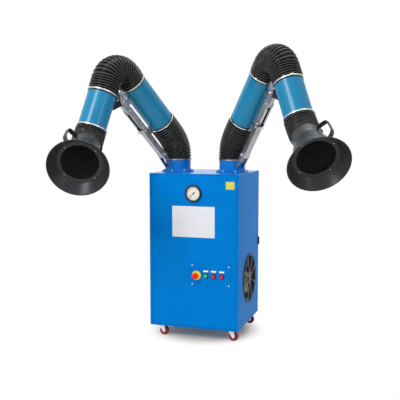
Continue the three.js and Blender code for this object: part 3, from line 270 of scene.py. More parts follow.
# Bare metal, cloudy or with streaks along one direction
def metal(name, colour, rough, scale, vary, stretch=(1, 1, 1)):
    mat, tree, shader = new_material(name)
    streak = noise(tree, scale, 4.0, stretch)
    tree.links.new(mottled(tree, streak, colour, vary), shader.inputs["Base Color"])
    shader.inputs["Metallic"].default_value = 1.0
    tree.links.new(spread(tree, streak, rough - 0.07, rough + 0.08), shader.inputs["Roughness"])
    finish_surface(tree, shader, streak, 0.1)
    return mat


# Hose rubber: a painted highlight on the crests of the ribs, broken up by noise, and painted shade that makes
# the grooves black
def rubber(name, groove_shade_colour, crest_highlight_colour, rough, gloss):
    mat, tree, shader = new_material(name)
    crests = map_range(tree, pointiness(tree), 0.49, 0.60)
    # Painted highlight on the rib crests, made patchy by noise
    crest_highlight_mask = combine(tree, "MULTIPLY", crests, spread(tree, noise(tree, 60.0), 0.55, 1.0))
    tree.links.new(ramp(tree, crest_highlight_mask, [(0.0, groove_shade_colour), (1.0, crest_highlight_colour)]), shader.inputs["Base Color"])
    worn = spread(tree, noise(tree, 25.0), rough - 0.05, rough + 0.08)
    tree.links.new(worn, shader.inputs["Roughness"])
    shader.inputs["Specular IOR Level"].default_value = gloss
    finish_surface(tree, shader, noise(tree, 500.0, 2.0), 0.2)
    return mat


def clear_glass(name):
    mat, tree, shader = new_material(name)
    shader.inputs["Base Color"].default_value = (0.95, 0.97, 0.98, 1.0)
    shader.inputs["Alpha"].default_value = 0.08
    tree.links.new(spread(tree, noise(tree, 12.0), 0.02, 0.05), shader.inputs["Roughness"])
    return mat


BLUE = paint("cabinet_blue", (0.0, 0.186, 0.62), rough=0.36, gloss=0.02)
TOP_BLUE = paint("top_blue", (0.0, 0.190, 0.60), rough=0.22, gloss=0.50)
TUBE_BLUE = paint("tube_blue", (0.0, 0.178, 0.35), rough=0.30, gloss=0.38, peel=0.04)
COLLAR_BLUE = paint("collar_blue", (0.0, 0.185, 0.62), rough=0.30, gloss=0.20)
DARK = paint("dark_paint", (0.016, 0.017, 0.019), rough=0.42, gloss=0.25, wear=0.5)
CHARCOAL = moulded("hood_plastic", (0.024, 0.026, 0.032), rough=0.34, vary=0.08, gloss=0.28)
# The black groove colour is painted shade and the pale crest colour is a painted highlight
HOSE = rubber("hose_rubber", (0.001, 0.001, 0.001), (0.150, 0.149, 0.152), rough=0.22, gloss=0.11)
RING_GREY = moulded("ring_plastic", (0.042, 0.047, 0.049), rough=0.50, vary=0.08, gloss=0.15)
SOOT = moulded("mesh_black", (0.018, 0.018, 0.018), rough=0.60, gloss=0.10)
GRIP = moulded("black_plastic", (0.014, 0.014, 0.016), rough=0.42, gloss=0.25)
WHEEL = moulded("wheel_red", (0.26, 0.008, 0.026), rough=0.40)
HUB = moulded("wheel_hub", (0.16, 0.008, 0.02), rough=0.45)
ZINC = metal("zinc_plate", (0.66, 0.68, 0.70), rough=0.36, scale=45.0, vary=0.12)
ALUMINIUM = metal("beam_aluminium", (0.40, 0.40, 0.425), rough=0.36, scale=30.0, vary=0.12,
                  stretch=(1, 1, 0.2))
ZINC_DARK = metal("bracket_steel", (0.30, 0.30, 0.31), rough=0.40, scale=45.0, vary=0.15)
STEEL = metal("clamp_steel", (0.74, 0.74, 0.73), rough=0.26, scale=80.0, vary=0.06)
BRONZE = moulded("blade_metal", (0.46, 0.38, 0.28), rough=0.45, grain=200.0, vary=0.25)
RED = moulded("button_red", (0.84, 0.008, 0.010), rough=0.30, vary=0.06, depth=0.05, gloss=0.20)
CRIMSON = moulded("button_crimson", (0.76, 0.004, 0.050), rough=0.30, vary=0.06, depth=0.05, gloss=0.20)
GREEN = moulded("button_green", (0.004, 0.60, 0.25), rough=0.30, vary=0.06, depth=0.05, gloss=0.20)
YELLOW = moulded("plate_yellow", (0.82, 0.66, 0.03), rough=0.36, vary=0.05, depth=0.05)
WHITE = moulded("dial_white", (0.94, 0.92, 0.90), rough=0.55, vary=0.03, depth=0.05)
PAPER = moulded("sheet_paper", (0.73, 0.76, 0.85), rough=0.60, grain=300.0, vary=0.03, depth=0.08)
LEMON = moulded("bare_sticker", (0.62, 0.62, 0.09), rough=0.50, vary=0.05, depth=0.05)
MEDIA = moulded("filter_media", (0.72, 0.68, 0.58), rough=0.85, grain=350.0, vary=0.08, depth=0.3)
GLASS = clear_glass("gauge_glass")

# Push buttons: body, place across the door, material and slot
BUTTONS = (
    ("start", 0.084, GREEN, "green"),
    ("stop", 0.136, CRIMSON, "red"),
    ("reset", 0.190, CRIMSON, "red"),
)


# Mesh building
def spot(x, y, z):
    return Matrix.Translation((x, y, z))


def spin(angle, axis):
    return Matrix.Rotation(math.radians(angle), 4, axis)


ALONG_X = spin(90, "Y")
OUT_OF_DOOR = spin(90, "X")


# Turns local Z to the outward side of a plate that faces left or right across Y
def across_y(side):
    return spin(-90 * side, "X")


# A piece with its material, the body it rides on and the node it stands for
def add_piece(name, bm, mat, body=None, slot=None, stands_for=None, place=Matrix(), sharp=SHARP):
    bmesh.ops.recalc_face_normals(bm, faces=bm.faces)
    bm.transform(place)
    mesh = bpy.data.meshes.new(name)
    bm.to_mesh(mesh)
    bm.free()
    mesh.shade_smooth()
    mesh.set_sharp_from_angle(angle=math.radians(sharp))
    mesh.materials.append(mat)
    obj = bpy.data.objects.new(name, mesh)
    bpy.context.scene.collection.objects.link(obj)
    if stands_for:
        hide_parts(stands_for)
    if body:
        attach(obj, body)
    return obj


# Cosine and sine at even steps round a circle
def around(count):
    angles = [2 * math.pi * j / count for j in range(count)]
    return [(math.cos(a), math.sin(a)) for a in angles]


def ring_faces(bm, rings, closed_path=False):
    count = len(rings)
    last = count if closed_path else count - 1
    for i in range(last):
        a, b = rings[i], rings[(i + 1) % count]
        n = len(a)
        for j in range(n):
            bm.faces.new((a[j], a[(j + 1) % n], b[(j + 1) % n], b[j]))
    if not closed_path:
        bm.faces.new(rings[0][::-1])
        bm.faces.new(rings[-1])


# Solid of revolution about local Z from (radius, height) pairs
def revolved(bm, profile, segments=SEG, matrix=Matrix()):
    loop = profile[0][0] > 0
    rings = []
    for r, z in profile:
        if r <= 0:
            rings.append([bm.verts.new(matrix @ Vector((0, 0, z)))])
        else:
            rings.append([bm.verts.new(matrix @ Vector((r * c, r * s, z))) for c, s in around(segments)])
    pairs = list(zip(rings, rings[1:]))
    if loop:
        pairs.append((rings[-1], rings[0]))
    for a, b in pairs:
        for j in range(segments):
            k = (j + 1) % segments
            if len(a) == 1:
                bm.faces.new((a[0], b[j], b[k]))
            elif len(b) == 1:
                bm.faces.new((a[j], b[0], a[k]))
            else:
                bm.faces.new((a[j], b[j], b[k], a[k]))


# Profile that is the same on both sides of the middle, from (radius, distance from the end) pairs
def mirrored(half, pairs):
    near = [(r, inset - half) for r, inset in pairs]
    far = [(r, half - inset) for r, inset in reversed(pairs)]
    return near + far


# Box between a low and a high value along each axis
def box_into(bm, xs, ys, zs, matrix=Matrix(), bevel=0.0):
    verts = bmesh.ops.create_cube(bm, size=1.0)["verts"]
    for v in verts:
        v.co = Vector((c + 0.5) * (high - low) + low for c, (low, high) in zip(v.co, (xs, ys, zs)))
    if bevel:
        edges = list({e for v in verts for e in v.link_edges})
        made = bmesh.ops.bevel(bm, geom=edges, offset=bevel, segments=2, affect="EDGES", profile=0.5)
        verts = list({v for f in made["faces"] for v in f.verts} | {v for v in verts if v.is_valid})
    bmesh.ops.transform(bm, matrix=matrix, verts=verts)


# Outline in local XZ, given a width across Y and a rounded edge
def plate_into(bm, outline, ys, bevel=0.0):
    near, far = ([bm.verts.new((x, y, z)) for x, z in outline] for y in ys)
    caps = [bm.faces.new(near), bm.faces.new(far[::-1])]
    n = len(outline)
    for j in range(n):
        k = (j + 1) % n
        bm.faces.new((near[k], near[j], far[j], far[k]))
    if bevel:
        rims = [e for cap in caps for e in cap.edges]
        bmesh.ops.bevel(bm, geom=rims, offset=bevel, segments=2, affect="EDGES", profile=0.5)


# Range along Y on the left or right of the middle plane
def flank(side, near, far):
    return sorted((side * near, side * far))


def arc_points(cx, cz, r, start, stop, count):
    angles = [math.radians(start + (stop - start) * i / (count - 1)) for i in range(count)]
    return [(cx + r * math.cos(a), cz + r * math.sin(a)) for a in angles]


# Round bar through points
def bar_into(bm, points, radius, sides, loop=False):
    points = [Vector(p) for p in points]
    n = len(points)
    rings = []
    side = None
    for i, p in enumerate(points):
        before = points[i - 1] if i or loop else p
        after = points[(i + 1) % n] if i < n - 1 or loop else p
        t = (after - before).normalized()
        if side is None:
            side = t.orthogonal().normalized()
        side = (side - t * side.dot(t)).normalized()
        other = t.cross(side)
        rings.append([bm.verts.new(p + radius * (side * c + other * s)) for c, s in around(sides)])
    ring_faces(bm, rings, loop)


def turned(name, profile, place, mat, segments=SEG, **where):
    bm = bmesh.new()
    revolved(bm, profile, segments)
    return add_piece(name, bm, mat, place=place, **where)


def screw_head(bm, matrix, r, t=0.0022):
    revolved(bm, [(0, 0), (r, 0), (r, t * 0.5), (r * 0.75, t), (0, t)], 24, matrix)


# Hexagon head on a washer
def bolt_head(bm, matrix, r, t):
    washer = r * 1.35
    profile = [(0, 0), (washer, 0), (washer, 0.0012), (r, 0.0014), (r, t - 0.001), (r * 0.8, t), (0, t)]
    revolved(bm, profile, 6, matrix)


# Solids that keep their own shape: a material and softly broken edges
def dress(node, mat, bevel=EDGE):
    obj = NODES[node]
    obj.data.materials.clear()
    obj.data.materials.append(mat)
    if bevel:
        mod = obj.modifiers.new("edges", "BEVEL")
        mod.width = bevel
        mod.segments = 2
        mod.limit_method = "ANGLE"
        mod.angle_limit = math.radians(40)


# One where the camera, a reflection or a view through glass meets the surroundings
def seen_rays(tree):
    rays = tree.nodes.new("ShaderNodeLightPath")
    total = rays.outputs["Is Camera Ray"]
    for kind in ("Is Glossy Ray", "Is Transmission Ray"):
        total = combine(tree, "MAXIMUM", total, rays.outputs[kind])
    return total


# Floor that keeps the shadow near the object and fades to white
def make_floor():
    bm = bmesh.new()
    bmesh.ops.create_circle(bm, cap_ends=True, segments=96, radius=FLOOR_R)
    mesh = bpy.data.meshes.new("floor")
    bm.to_mesh(mesh)
    bm.free()
    floor = bpy.data.objects.new("floor", mesh)
    floor.location = (0, 0, FLOOR_Z)
    bpy.context.scene.collection.objects.link(floor)
    mat, tree, shader = new_material("floor")
    shader.inputs["Base Color"].default_value = FLOOR_COLOUR
    shader.inputs["Roughness"].default_value = 0.7
    white = tree.nodes.new("ShaderNodeEmission")
    coords = tree.nodes.new("ShaderNodeTexCoord")
    length = tree.nodes.new("ShaderNodeVectorMath")
    length.operation = "LENGTH"
    tree.links.new(coords.outputs["Object"], length.inputs[0])
    fade = map_range(tree, length.outputs["Value"], SHADOW_NEAR, SHADOW_FAR, SHADOW_PALE, 1.0, "SMOOTHSTEP")
    mix = tree.nodes.new("ShaderNodeMixShader")
    tree.links.new(combine(tree, "MULTIPLY", fade, seen_rays(tree)), mix.inputs["Fac"])
    tree.links.new(shader.outputs["BSDF"], mix.inputs[1])
    tree.links.new(white.outputs["Emission"], mix.inputs[2])
    tree.links.new(mix.outputs["Shader"], tree.nodes["Material Output"].inputs["Surface"])
    mesh.materials.append(mat)


def make_world():
    world = bpy.data.worlds.new("studio")
    bpy.context.scene.world = world
    world.use_nodes = True
    tree = world.node_tree
    room = tree.nodes["Background"]
    room.inputs["Color"].default_value = WHITE_LIGHT
    room.inputs["Strength"].default_value = WORLD_STRENGTH
    backdrop = tree.nodes.new("ShaderNodeBackground")
    backdrop.inputs["Color"].default_value = WHITE_LIGHT
    mix = tree.nodes.new("ShaderNodeMixShader")
    tree.links.new(seen_rays(tree), mix.inputs["Fac"])
    tree.links.new(room.outputs["Background"], mix.inputs[1])
    tree.links.new(backdrop.outputs["Background"], mix.inputs[2])
    tree.links.new(mix.outputs["Shader"], tree.nodes["World Output"].inputs["Surface"])


# Soft lamps and the camera of the photograph
def make_studio():
    scene = bpy.context.scene
    for name, place, aim, width, height, watts in LAMPS:
        data = bpy.data.lights.new(name, "AREA")
        data.shape = "RECTANGLE"
        data.size = width
        data.size_y = height
        data.energy = watts
        lamp = bpy.data.objects.new(name, data)
        lamp.location = place
        lamp.rotation_euler = (Vector(aim) - Vector(place)).to_track_quat("-Z", "Y").to_euler()
        scene.collection.objects.link(lamp)

    data = bpy.data.cameras.new("camera")
    data.sensor_width = SENSOR_MM
    data.lens = LENS_MM
    camera = bpy.data.objects.new("camera", data)
    camera.location = CAMERA_PLACE
    camera.rotation_euler = CAMERA_ANGLES
    scene.collection.objects.link(camera)
    scene.camera = camera
    scene.view_settings.view_transform = "Standard"


def make_cabinet():
    for node in ("base_frame", "left_panel", "right_panel", "rear_panel", "front_door"):
        dress(node, BLUE)
    dress("top_panel", TOP_BLUE)
    dress("control_plate", BLUE, FINE_EDGE)
    dress("filter_shelf", ZINC)
    dress("filter_cartridge", MEDIA, 0.0)
    dress("blower_motor", DARK, SMALL_EDGE)
    dress("fan_impeller", BRONZE, FINE_EDGE)
    make_outlet()
    make_seals()
    make_panel_screws()
    make_latch()


# Round outlet: rings and bars of the guard, lip of the hole, cap on the fan's hub
def make_outlet():
    middle = Vector((HALF_W + GUARD_OUT, OUTLET_Y, OUTLET_Z))
    bm = bmesh.new()
    for i in range(1, GUARD_RINGS + 1):
        r = GUARD_R * i / GUARD_RINGS
        ring = [middle + Vector((0, r * c, r * s)) for c, s in around(SEG)]
        bar_into(bm, ring, RIM_WIRE if i == GUARD_RINGS else RING_WIRE, 8, True)
    add_piece("fan_guard_wires", bm, DARK, "cabinet", "dark_metal", "fan_guard")

    bm = bmesh.new()
    middle.x += BAR_OUT
    for i in range(GUARD_BARS):
        a = math.radians((i + 0.5) * 180 / GUARD_BARS)
        tip = Vector((0, GUARD_R * math.cos(a), GUARD_R * math.sin(a)))
        bar_into(bm, [middle - tip, middle + tip], BAR_WIRE, 8)
    add_piece("fan_guard_bars", bm, ZINC_DARK, "cabinet", "dark_metal")

    lip = [(OUTLET_IN, 0), (OUTLET_OUT, 0), (OUTLET_OUT, LIP_THICK / 2), (OUTLET_OUT - 0.0015, LIP_THICK),
           (OUTLET_IN + 0.0018, LIP_THICK), (OUTLET_IN, LIP_THICK / 2)]
    turned("outlet_lip", lip, spot(HALF_W + 0.0002, OUTLET_Y, OUTLET_Z) @ ALONG_X, DARK, body="cabinet",
           slot="dark_metal")
    cap = [(0, 0), (HUB_CAP_R, 0), (HUB_CAP_R, 0.0032), (HUB_CAP_R - 0.004, 0.0067),
           (HUB_CAP_R - 0.018, 0.0082), (0, 0.0085)]
    turned("fan_hub_cap", cap, spot(HUB_CAP_BACK, OUTLET_Y, OUTLET_Z) @ ALONG_X, BRONZE, 48, body="fan",
           slot="dark_metal")


# Strips in the gaps above and below the door, and a black strip beside it that is painted shade for the
# shadow in that gap
def make_seals():
    bm = bmesh.new()
    for zs in SEAL_ZS:
        box_into(bm, (-SEAL_HALF, SEAL_HALF), SEAL_YS, zs, bevel=0.0006)
    add_piece("door_seals", bm, BLUE, "cabinet", "cabinet_blue")
    bm = bmesh.new()
    box_into(bm, GAP_SHADE_XS, GAP_SHADE_YS, GAP_SHADE_ZS, bevel=0.0004)
    add_piece("door_gap_shade_strip", bm, GRIP, "cabinet")


def make_panel_screws():
    bm = bmesh.new()
    for side in (-1, 1):
        for y in TOP_SCREW_YS:
            screw_head(bm, spot(side * TOP_SCREW_X, y, HEIGHT), PANEL_SCREW_R)
        for z in SIDE_SCREW_ZS:
            screw_head(bm, spot(side * HALF_W, SIDE_SCREW_Y, z) @ spin(90 * side, "Y"), PANEL_SCREW_R)
    add_piece("panel_screws", bm, ZINC, "cabinet", "zinc")


def make_latch():
    bm = bmesh.new()
    box_into(bm, (HALF_W, HALF_W + 0.0022), LATCH_YS, LATCH_ZS, bevel=0.0009)
    box_into(bm, (HALF_W + 0.0015, HALF_W + 0.0090), LATCH_GRIP_YS, LATCH_GRIP_ZS, bevel=0.0024)
    for z in LATCH_SCREW_ZS:
        screw_head(bm, spot(HALF_W + 0.0020, LATCH_SCREW_Y, z) @ ALONG_X, 0.0018, 0.0010)
    add_piece("rear_latch", bm, GRIP, "cabinet")


# Place on the door with local Z out of it, at a distance in front of its skin
def on_door(x, z, out=0.0):
    return spot(x, FRONT - out, z) @ OUT_OF_DOOR


# Range along Y between two distances in front of the door's skin
def proud(back, face):
    return FRONT - face, FRONT - back


def make_door():
    bm = bmesh.new()
    for x in PLATE_SCREW_XS:
        for z in PLATE_SCREW_ZS:
            screw_head(bm, on_door(x, z, PLATE_FACE), 0.0048, 0.0026)
    add_piece("plate_screws", bm, STEEL, "door", "zinc")
    make_buttons()
    make_estop()
    for name, mat, xs, zs, face, bevel in (
        ("instruction_sheet", PAPER, SHEET_XS, SHEET_ZS, 0.0009, 0.0003),
        ("bare_sticker", LEMON, STICKER_XS, STICKER_ZS, 0.0007, 0.0002),
    ):
        bm = bmesh.new()
        box_into(bm, xs, proud(0.0001, face), zs, bevel=bevel)
        add_piece(name, bm, mat, "door")
    make_hinges()


def make_buttons():
    labels = bmesh.new()
    bezels = bmesh.new()
    bezel = [(BEZEL_IN, PLATE_FACE), (BEZEL_R, PLATE_FACE), (BEZEL_R, 0.0060), (BEZEL_R - 0.0010, 0.0094),
             (BEZEL_IN + 0.0010, 0.0096), (BEZEL_IN, 0.0085)]
    for name, x, mat, slot in BUTTONS:
        box_into(labels, (x - LABEL_HALF, x + LABEL_HALF), proud(0.0022, 0.0031), LABEL_ZS, bevel=0.0003)
        revolved(bezels, bezel, 48, on_door(x, BUTTON_Z))
    add_piece("button_plates", labels, WHITE, "door")
    add_piece("button_bezels", bezels, GRIP, "door")

    cap = [(0, -0.020), (CAP_STEM_R, -0.020), (CAP_STEM_R, 0.0045), (CAP_R, 0.0045), (CAP_R, 0.0132),
           (CAP_R - 0.0006, 0.0146), (CAP_R - 0.0020, 0.0152), (CAP_R - 0.0033, 0.0150), (0, 0.0144)]
    for name, x, mat, slot in BUTTONS:
        turned(name + "_button_cap", cap, on_door(x, BUTTON_Z), mat, 48, body=name, slot=slot,
               stands_for=name + "_button")


def make_estop():
    place = on_door(ESTOP_X, BUTTON_Z)
    plate = [(ESTOP_BORE, -0.030), (ESTOP_BARREL, -0.030), (ESTOP_BARREL, 0.0026), (ESTOP_PLATE_R, 0.0026),
             (ESTOP_PLATE_R, 0.0054), (ESTOP_PLATE_R - 0.0012, 0.0066), (ESTOP_BARREL + 0.0020, 0.0066),
             (ESTOP_BARREL, 0.0076), (ESTOP_BARREL, 0.0153), (ESTOP_BORE, 0.0153)]
    turned("estop_plate", plate, place, YELLOW, body="door", slot="yellow", stands_for="estop_base")
    mushroom = [(0, -0.015), (MUSHROOM_STEM_R, -0.015), (MUSHROOM_STEM_R, 0.0255),
                (MUSHROOM_R - 0.0030, 0.0255), (MUSHROOM_R - 0.0008, 0.0268),
                (MUSHROOM_R, 0.0295), (MUSHROOM_R, 0.0345),
                (MUSHROOM_R - 0.0008, 0.0385), (MUSHROOM_R - 0.0030, 0.0410), (MUSHROOM_R - 0.0075, 0.0427),
                (MUSHROOM_R - 0.0135, 0.0437), (0, 0.0440)]
    turned("estop_mushroom", mushroom, place, RED, sharp=50, body="estop", slot="red",
           stands_for="estop_button")


def make_hinges():
    bm = bmesh.new()
    for z in HINGE_ZS:
        knuckle = mirrored(KNUCKLE_HALF, [(0, 0), (HINGE_R - 0.0004, 0), (HINGE_R, 0.0006)])
        revolved(bm, knuckle, 24, spot(HINGE_X, HINGE_Y, z))
    add_piece("door_hinge_knuckles", bm, COLLAR_BLUE, "door", "cabinet_blue")
    bm = bmesh.new()
    for z in HINGE_ZS:
        for end in (-1, 1):
            low, high = sorted((z + end * LEAF_NEAR, z + end * LEAF_FAR))
            knuckle = [(0, low), (HINGE_R, low), (HINGE_R, high), (0, high)]
            revolved(bm, knuckle, 24, spot(HINGE_X, HINGE_Y, 0))
            box_into(bm, LEAF_XS, (HINGE_Y, LEAF_BACK), (low, high), bevel=0.0004)
    add_piece("frame_hinge_knuckles", bm, COLLAR_BLUE, "cabinet", "cabinet_blue")


def dial_angle(tick):
    return math.radians(DIAL_START - DIAL_SWEEP * tick / DIAL_TICKS)


def make_gauge():
    place = on_door(GAUGE_X, GAUGE_Z)
    case = [(0, BARREL_BACK), (BARREL_R, BARREL_BACK), (BARREL_R, 0.0003), (GAUGE_R, 0.0003),
            (GAUGE_R, 0.0095), (GAUGE_R - 0.0008, 0.0122), (GAUGE_R - 0.0025, 0.0136),
            (GAUGE_R - 0.0050, 0.0140),
            (GAUGE_R - 0.0088, 0.0134), (GAUGE_R - 0.0099, 0.0120), (LENS_R, LENS_FACE), (LENS_R, LENS_BACK),
            (POCKET_R, LENS_BACK), (POCKET_R, DIAL_BACK), (BOSS_R, DIAL_BACK), (BOSS_R, BOSS_FACE),
            (0, BOSS_FACE)]
    turned("gauge_case_turned", case, place, GRIP, 96, body="door", slot="gauge_black",
           stands_for="gauge_case")
    dial = [(DIAL_IN, DIAL_BACK), (DIAL_R, DIAL_BACK), (DIAL_R, DIAL_FACE), (DIAL_IN, DIAL_FACE)]
    turned("gauge_dial", dial, place, WHITE, 96, body="door")
    dress("gauge_lens", GLASS, 0.0)

    bm = bmesh.new()
    for i in range(DIAL_TICKS + 1):
        start, half = (LONG_TICK, 0.0006) if i % TICKS_PER_NUMBER == 0 else (SHORT_TICK, 0.0003)
        tick = on_door(GAUGE_X, GAUGE_Z, DIAL_FACE) @ Matrix.Rotation(dial_angle(i), 4, "Z")
        box_into(bm, (start, TICK_END), (-half, half), (0, TICK_THICK), tick)
    add_piece("gauge_ticks", bm, GRIP, "door", "gauge_black")
    for i in range(DIAL_TICKS // TICKS_PER_NUMBER + 1):
        make_dial_number(str(i * NUMBER_STEP), dial_angle(i * TICKS_PER_NUMBER))

    bm = bmesh.new()
    blade = [(-0.0007, NEEDLE_TIP), (-0.0020, 0.0057)] + arc_points(0, 0, NEEDLE_HUB_R, 110, 245, 12)
    tail = [(-0.0022, -NEEDLE_TAIL), (0.0022, -NEEDLE_TAIL)] + arc_points(0, 0, NEEDLE_HUB_R, 295, 430, 12)
    plate_into(bm, blade + tail + [(0.0020, 0.0057), (0.0007, NEEDLE_TIP)], (-0.0011, -0.0001))
    add_piece("gauge_pointer", bm, GRIP, "needle", "gauge_black", "gauge_needle",
              spot(GAUGE_X, FRONT, GAUGE_Z) @ spin(NEEDLE_REST, "Y"))


def make_dial_number(number, angle):
    curve = bpy.data.curves.new("dial_number_" + number, "FONT")
    curve.body = number
    curve.size = NUMBER_SIZE
    curve.align_x = "CENTER"
    curve.align_y = "CENTER"
    curve.extrude = 0.0001
    curve.materials.append(GRIP)
    text = bpy.data.objects.new("dial_number_" + number, curve)
    bpy.context.scene.collection.objects.link(text)
    x, z = GAUGE_X + NUMBER_R * math.cos(angle), GAUGE_Z + NUMBER_R * math.sin(angle)
    text.matrix_world = on_door(x, z, DIAL_FACE + 0.0002)
    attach(text, "door")


def make_casters():
    bm = bmesh.new()
    for x in (-CASTER_X, CASTER_X):
        for y in (-CASTER_Y, CASTER_Y):
            xs, ys = (x - CASTER_PLATE_X, x + CASTER_PLATE_X), (y - CASTER_PLATE_Y, y + CASTER_PLATE_Y)
            box_into(bm, xs, ys, CASTER_PLATE_ZS, bevel=0.0005)
            for dx in (-PLATE_BOLT_X, PLATE_BOLT_X):
                for dy in (-PLATE_BOLT_Y, PLATE_BOLT_Y):
                    bolt_head(bm, spot(x + dx, y + dy, PLATE_BOLT_Z) @ spin(180, "X"), 0.0045, 0.0045)
    add_piece("caster_plates", bm, ZINC, "cabinet", "zinc")
    for end, y in (("front", -CASTER_Y), ("rear", CASTER_Y)):
        for hand, x in (("left", -CASTER_X), ("right", CASTER_X)):
            make_caster(end + "_" + hand, spot(x, y, 0))


def make_caster(name, base):
    bm = bmesh.new()
    race = [(0, RACE_LOW), (RACE_R - 0.0020, RACE_LOW), (RACE_R, RACE_LOW + 0.0013),
            (RACE_R, RACE_TOP - 0.0011), (RACE_R - 0.0015, RACE_TOP), (0, RACE_TOP)]
    revolved(bm, race, 48)
    leg = [(x, LEG_TOP) for x in LEG_XS] + arc_points(TRAIL, AXLE_Z, LEG_R, 0, -180, 14)
    for side in (-1, 1):
        plate_into(bm, leg, flank(side, LEG_IN, LEG_OUT), bevel=0.0005)
        bolt_head(bm, spot(TRAIL, side * LEG_OUT, AXLE_Z) @ across_y(side), 0.0045, 0.0032)
    add_piece(name + "_fork", bm, ZINC, name + "_fork", "zinc", name + "_caster_fork", base)

    wheel = base @ spot(TRAIL, 0, AXLE_Z) @ spin(90, "X")
    tyre = mirrored(WHEEL_HALF, [(TYRE_IN, 0.0035), (TYRE_IN + 0.0040, 0.0008), (WHEEL_R - 0.0030, 0.0012),
                                 (WHEEL_R - 0.0009, 0.0042), (WHEEL_R, 0.0085)])
    turned(name + "_tyre", tyre, wheel, WHEEL, 64, body=name + "_wheel", slot="wheel_red",
           stands_for=name + "_caster_wheel")
    hub = mirrored(WHEEL_HALF, [(HUB_BORE, 0), (0.0090, 0), (0.0105, 0.0040), (HUB_R, 0.0050)])
    turned(name + "_hub", hub, wheel, HUB, 64, body=name + "_wheel", slot="wheel_red")


# Paths of the hoses: point and direction at a distance, in the frame of the piece that carries them
def bend_path(radius, angle, before, after):
    def at(s):
        passed = s - before
        t = min(max(passed / radius, 0.0), angle)
        tangent = Vector((math.cos(t), 0, -math.sin(t)))
        middle = Vector((radius * math.sin(t), 0, radius * math.cos(t)))
        return middle + tangent * (passed - radius * t), tangent
    return at, before + radius * angle + after


def bezier_path(p0, p1, p2, p3, count=200):
    points = []
    for i in range(count + 1):
        t = i / count
        u = 1 - t
        points.append(u ** 3 * p0 + 3 * u * u * t * p1 + 3 * u * t * t * p2 + t ** 3 * p3)
    lengths = [0.0]
    for a, b in zip(points, points[1:]):
        lengths.append(lengths[-1] + (b - a).length)
    start, end = (p1 - p0).normalized(), (p3 - p2).normalized()

    def at(s):
        if s <= 0:
            return p0 + start * s, start
        if s >= lengths[-1]:
            return p3 + end * (s - lengths[-1]), end
        i = max(k for k in range(count) if lengths[k] <= s)
        share = (s - lengths[i]) / (lengths[i + 1] - lengths[i])
        return points[i].lerp(points[i + 1], share), (points[i + 1] - points[i]).normalized()
    return at, lengths[-1]


# Ribbed hose: a wire wound in a spiral under a thin wall that sinks between its turns, with flat cuffs
# under the clamps
def make_hose(name, path, length, place, node, foot=SLEEVE, head=SLEEVE, rib=RIB, sink=RIB_SINK, pitch=PITCH):
    bm = bmesh.new()
    rings, inner = [], []
    lateral = Vector((0, 1, 0))
    whole = foot + length + head
    steps = int(whole / pitch * STEPS_PER_RIB)
    every = round(PITCH / pitch * STEPS_PER_RIB)
    for i in range(steps + 1):
        s = -foot + whole * i / steps
        point, tangent = path(s)
        normal = tangent.cross(lateral).normalized()
        fade = min(max(min(s, length - s) / RIB_FADE, 0.0), 1.0)
        ways = [lateral * c + normal * v for c, v in around(SEG)]
        ring = []
        for j, way in enumerate(ways):
            wave = 0.5 + 0.5 * math.cos(2 * math.pi * (s / pitch - j / SEG))
            ring.append(bm.verts.new(point + way * (HOSE_R + fade * (rib * wave ** 1.5 - sink))))
        rings.append(ring)
        if i % every == 0 or i == steps:
            inner.append([bm.verts.new(point + way * (HOSE_IN - fade * sink)) for way in ways])
    ring_faces(bm, rings + inner[::-1], True)
    return add_piece(name, bm, HOSE, slot="hose_black", stands_for=node, place=place, sharp=70)


# Worm-drive clamp: a band with a housing and a screw, turned round the hose
def make_clamp(name, place, body, turn, mat=STEEL, slot="zinc"):
    bm = bmesh.new()
    r = CLAMP_R
    revolved(bm, mirrored(CLAMP_HALF, [(r, 0), (r + 0.0010, 0), (r + 0.0014, 0.0008), (r + 0.0011, 0.0016)]))
    housing = spin(turn, "Z") @ spot(r, 0, 0)
    box_into(bm, (0.0005, 0.0075), (-0.009, 0.009), (-0.0055, 0.0055), housing, 0.0012)
    bolt_head(bm, housing @ spot(0.0045, 0.009, 0) @ across_y(1), 0.0034, 0.006)
    add_piece(name, bm, mat, body, slot, place=place)


def make_arm(name, side, swivel, lower, upper, tilt, turn):
    foot = spot(side * ARM_X, ARM_Y, 0) @ spin(-90 + side * swivel, "Z")
    link = foot @ spot(SHOULDER_R, 0, SHOULDER_Z) @ spin(-lower, "Y")
    elbow = link @ spot(BEAM, 0, 0)
    reach = elbow @ spin(lower + upper, "Y")
    wrist = reach @ spot(UPPER_LENGTH + HOOD_PIVOT, 0, OFFSET) @ spin(side * turn, "X")
    head = wrist @ spin(-tilt, "Y")
    body = {part: name + "_" + part for part in ("swivel", "lower", "upper", "yoke", "head")}
    tag = name + "_"
    make_foot(tag, foot, body)
    make_shoulder_hose(tag, foot, link, math.radians(lower), body)
    make_tubes(tag, link, reach, body)
    make_beam_trim(tag, link, reach, body)
    make_elbow_hose(tag, link, elbow, reach, math.radians(lower + upper), body)
    make_hood_hose(tag, wrist, head, math.radians(tilt), body)
    dress(tag + "hood_yoke", DARK, SMALL_EDGE)
    roll = spin(-side * HANDLE_ROLL, "X")
    make_hood_shell(tag, head, roll, body)
    make_handle(tag, head @ roll, body)
    make_hood_mesh(tag, head, body)


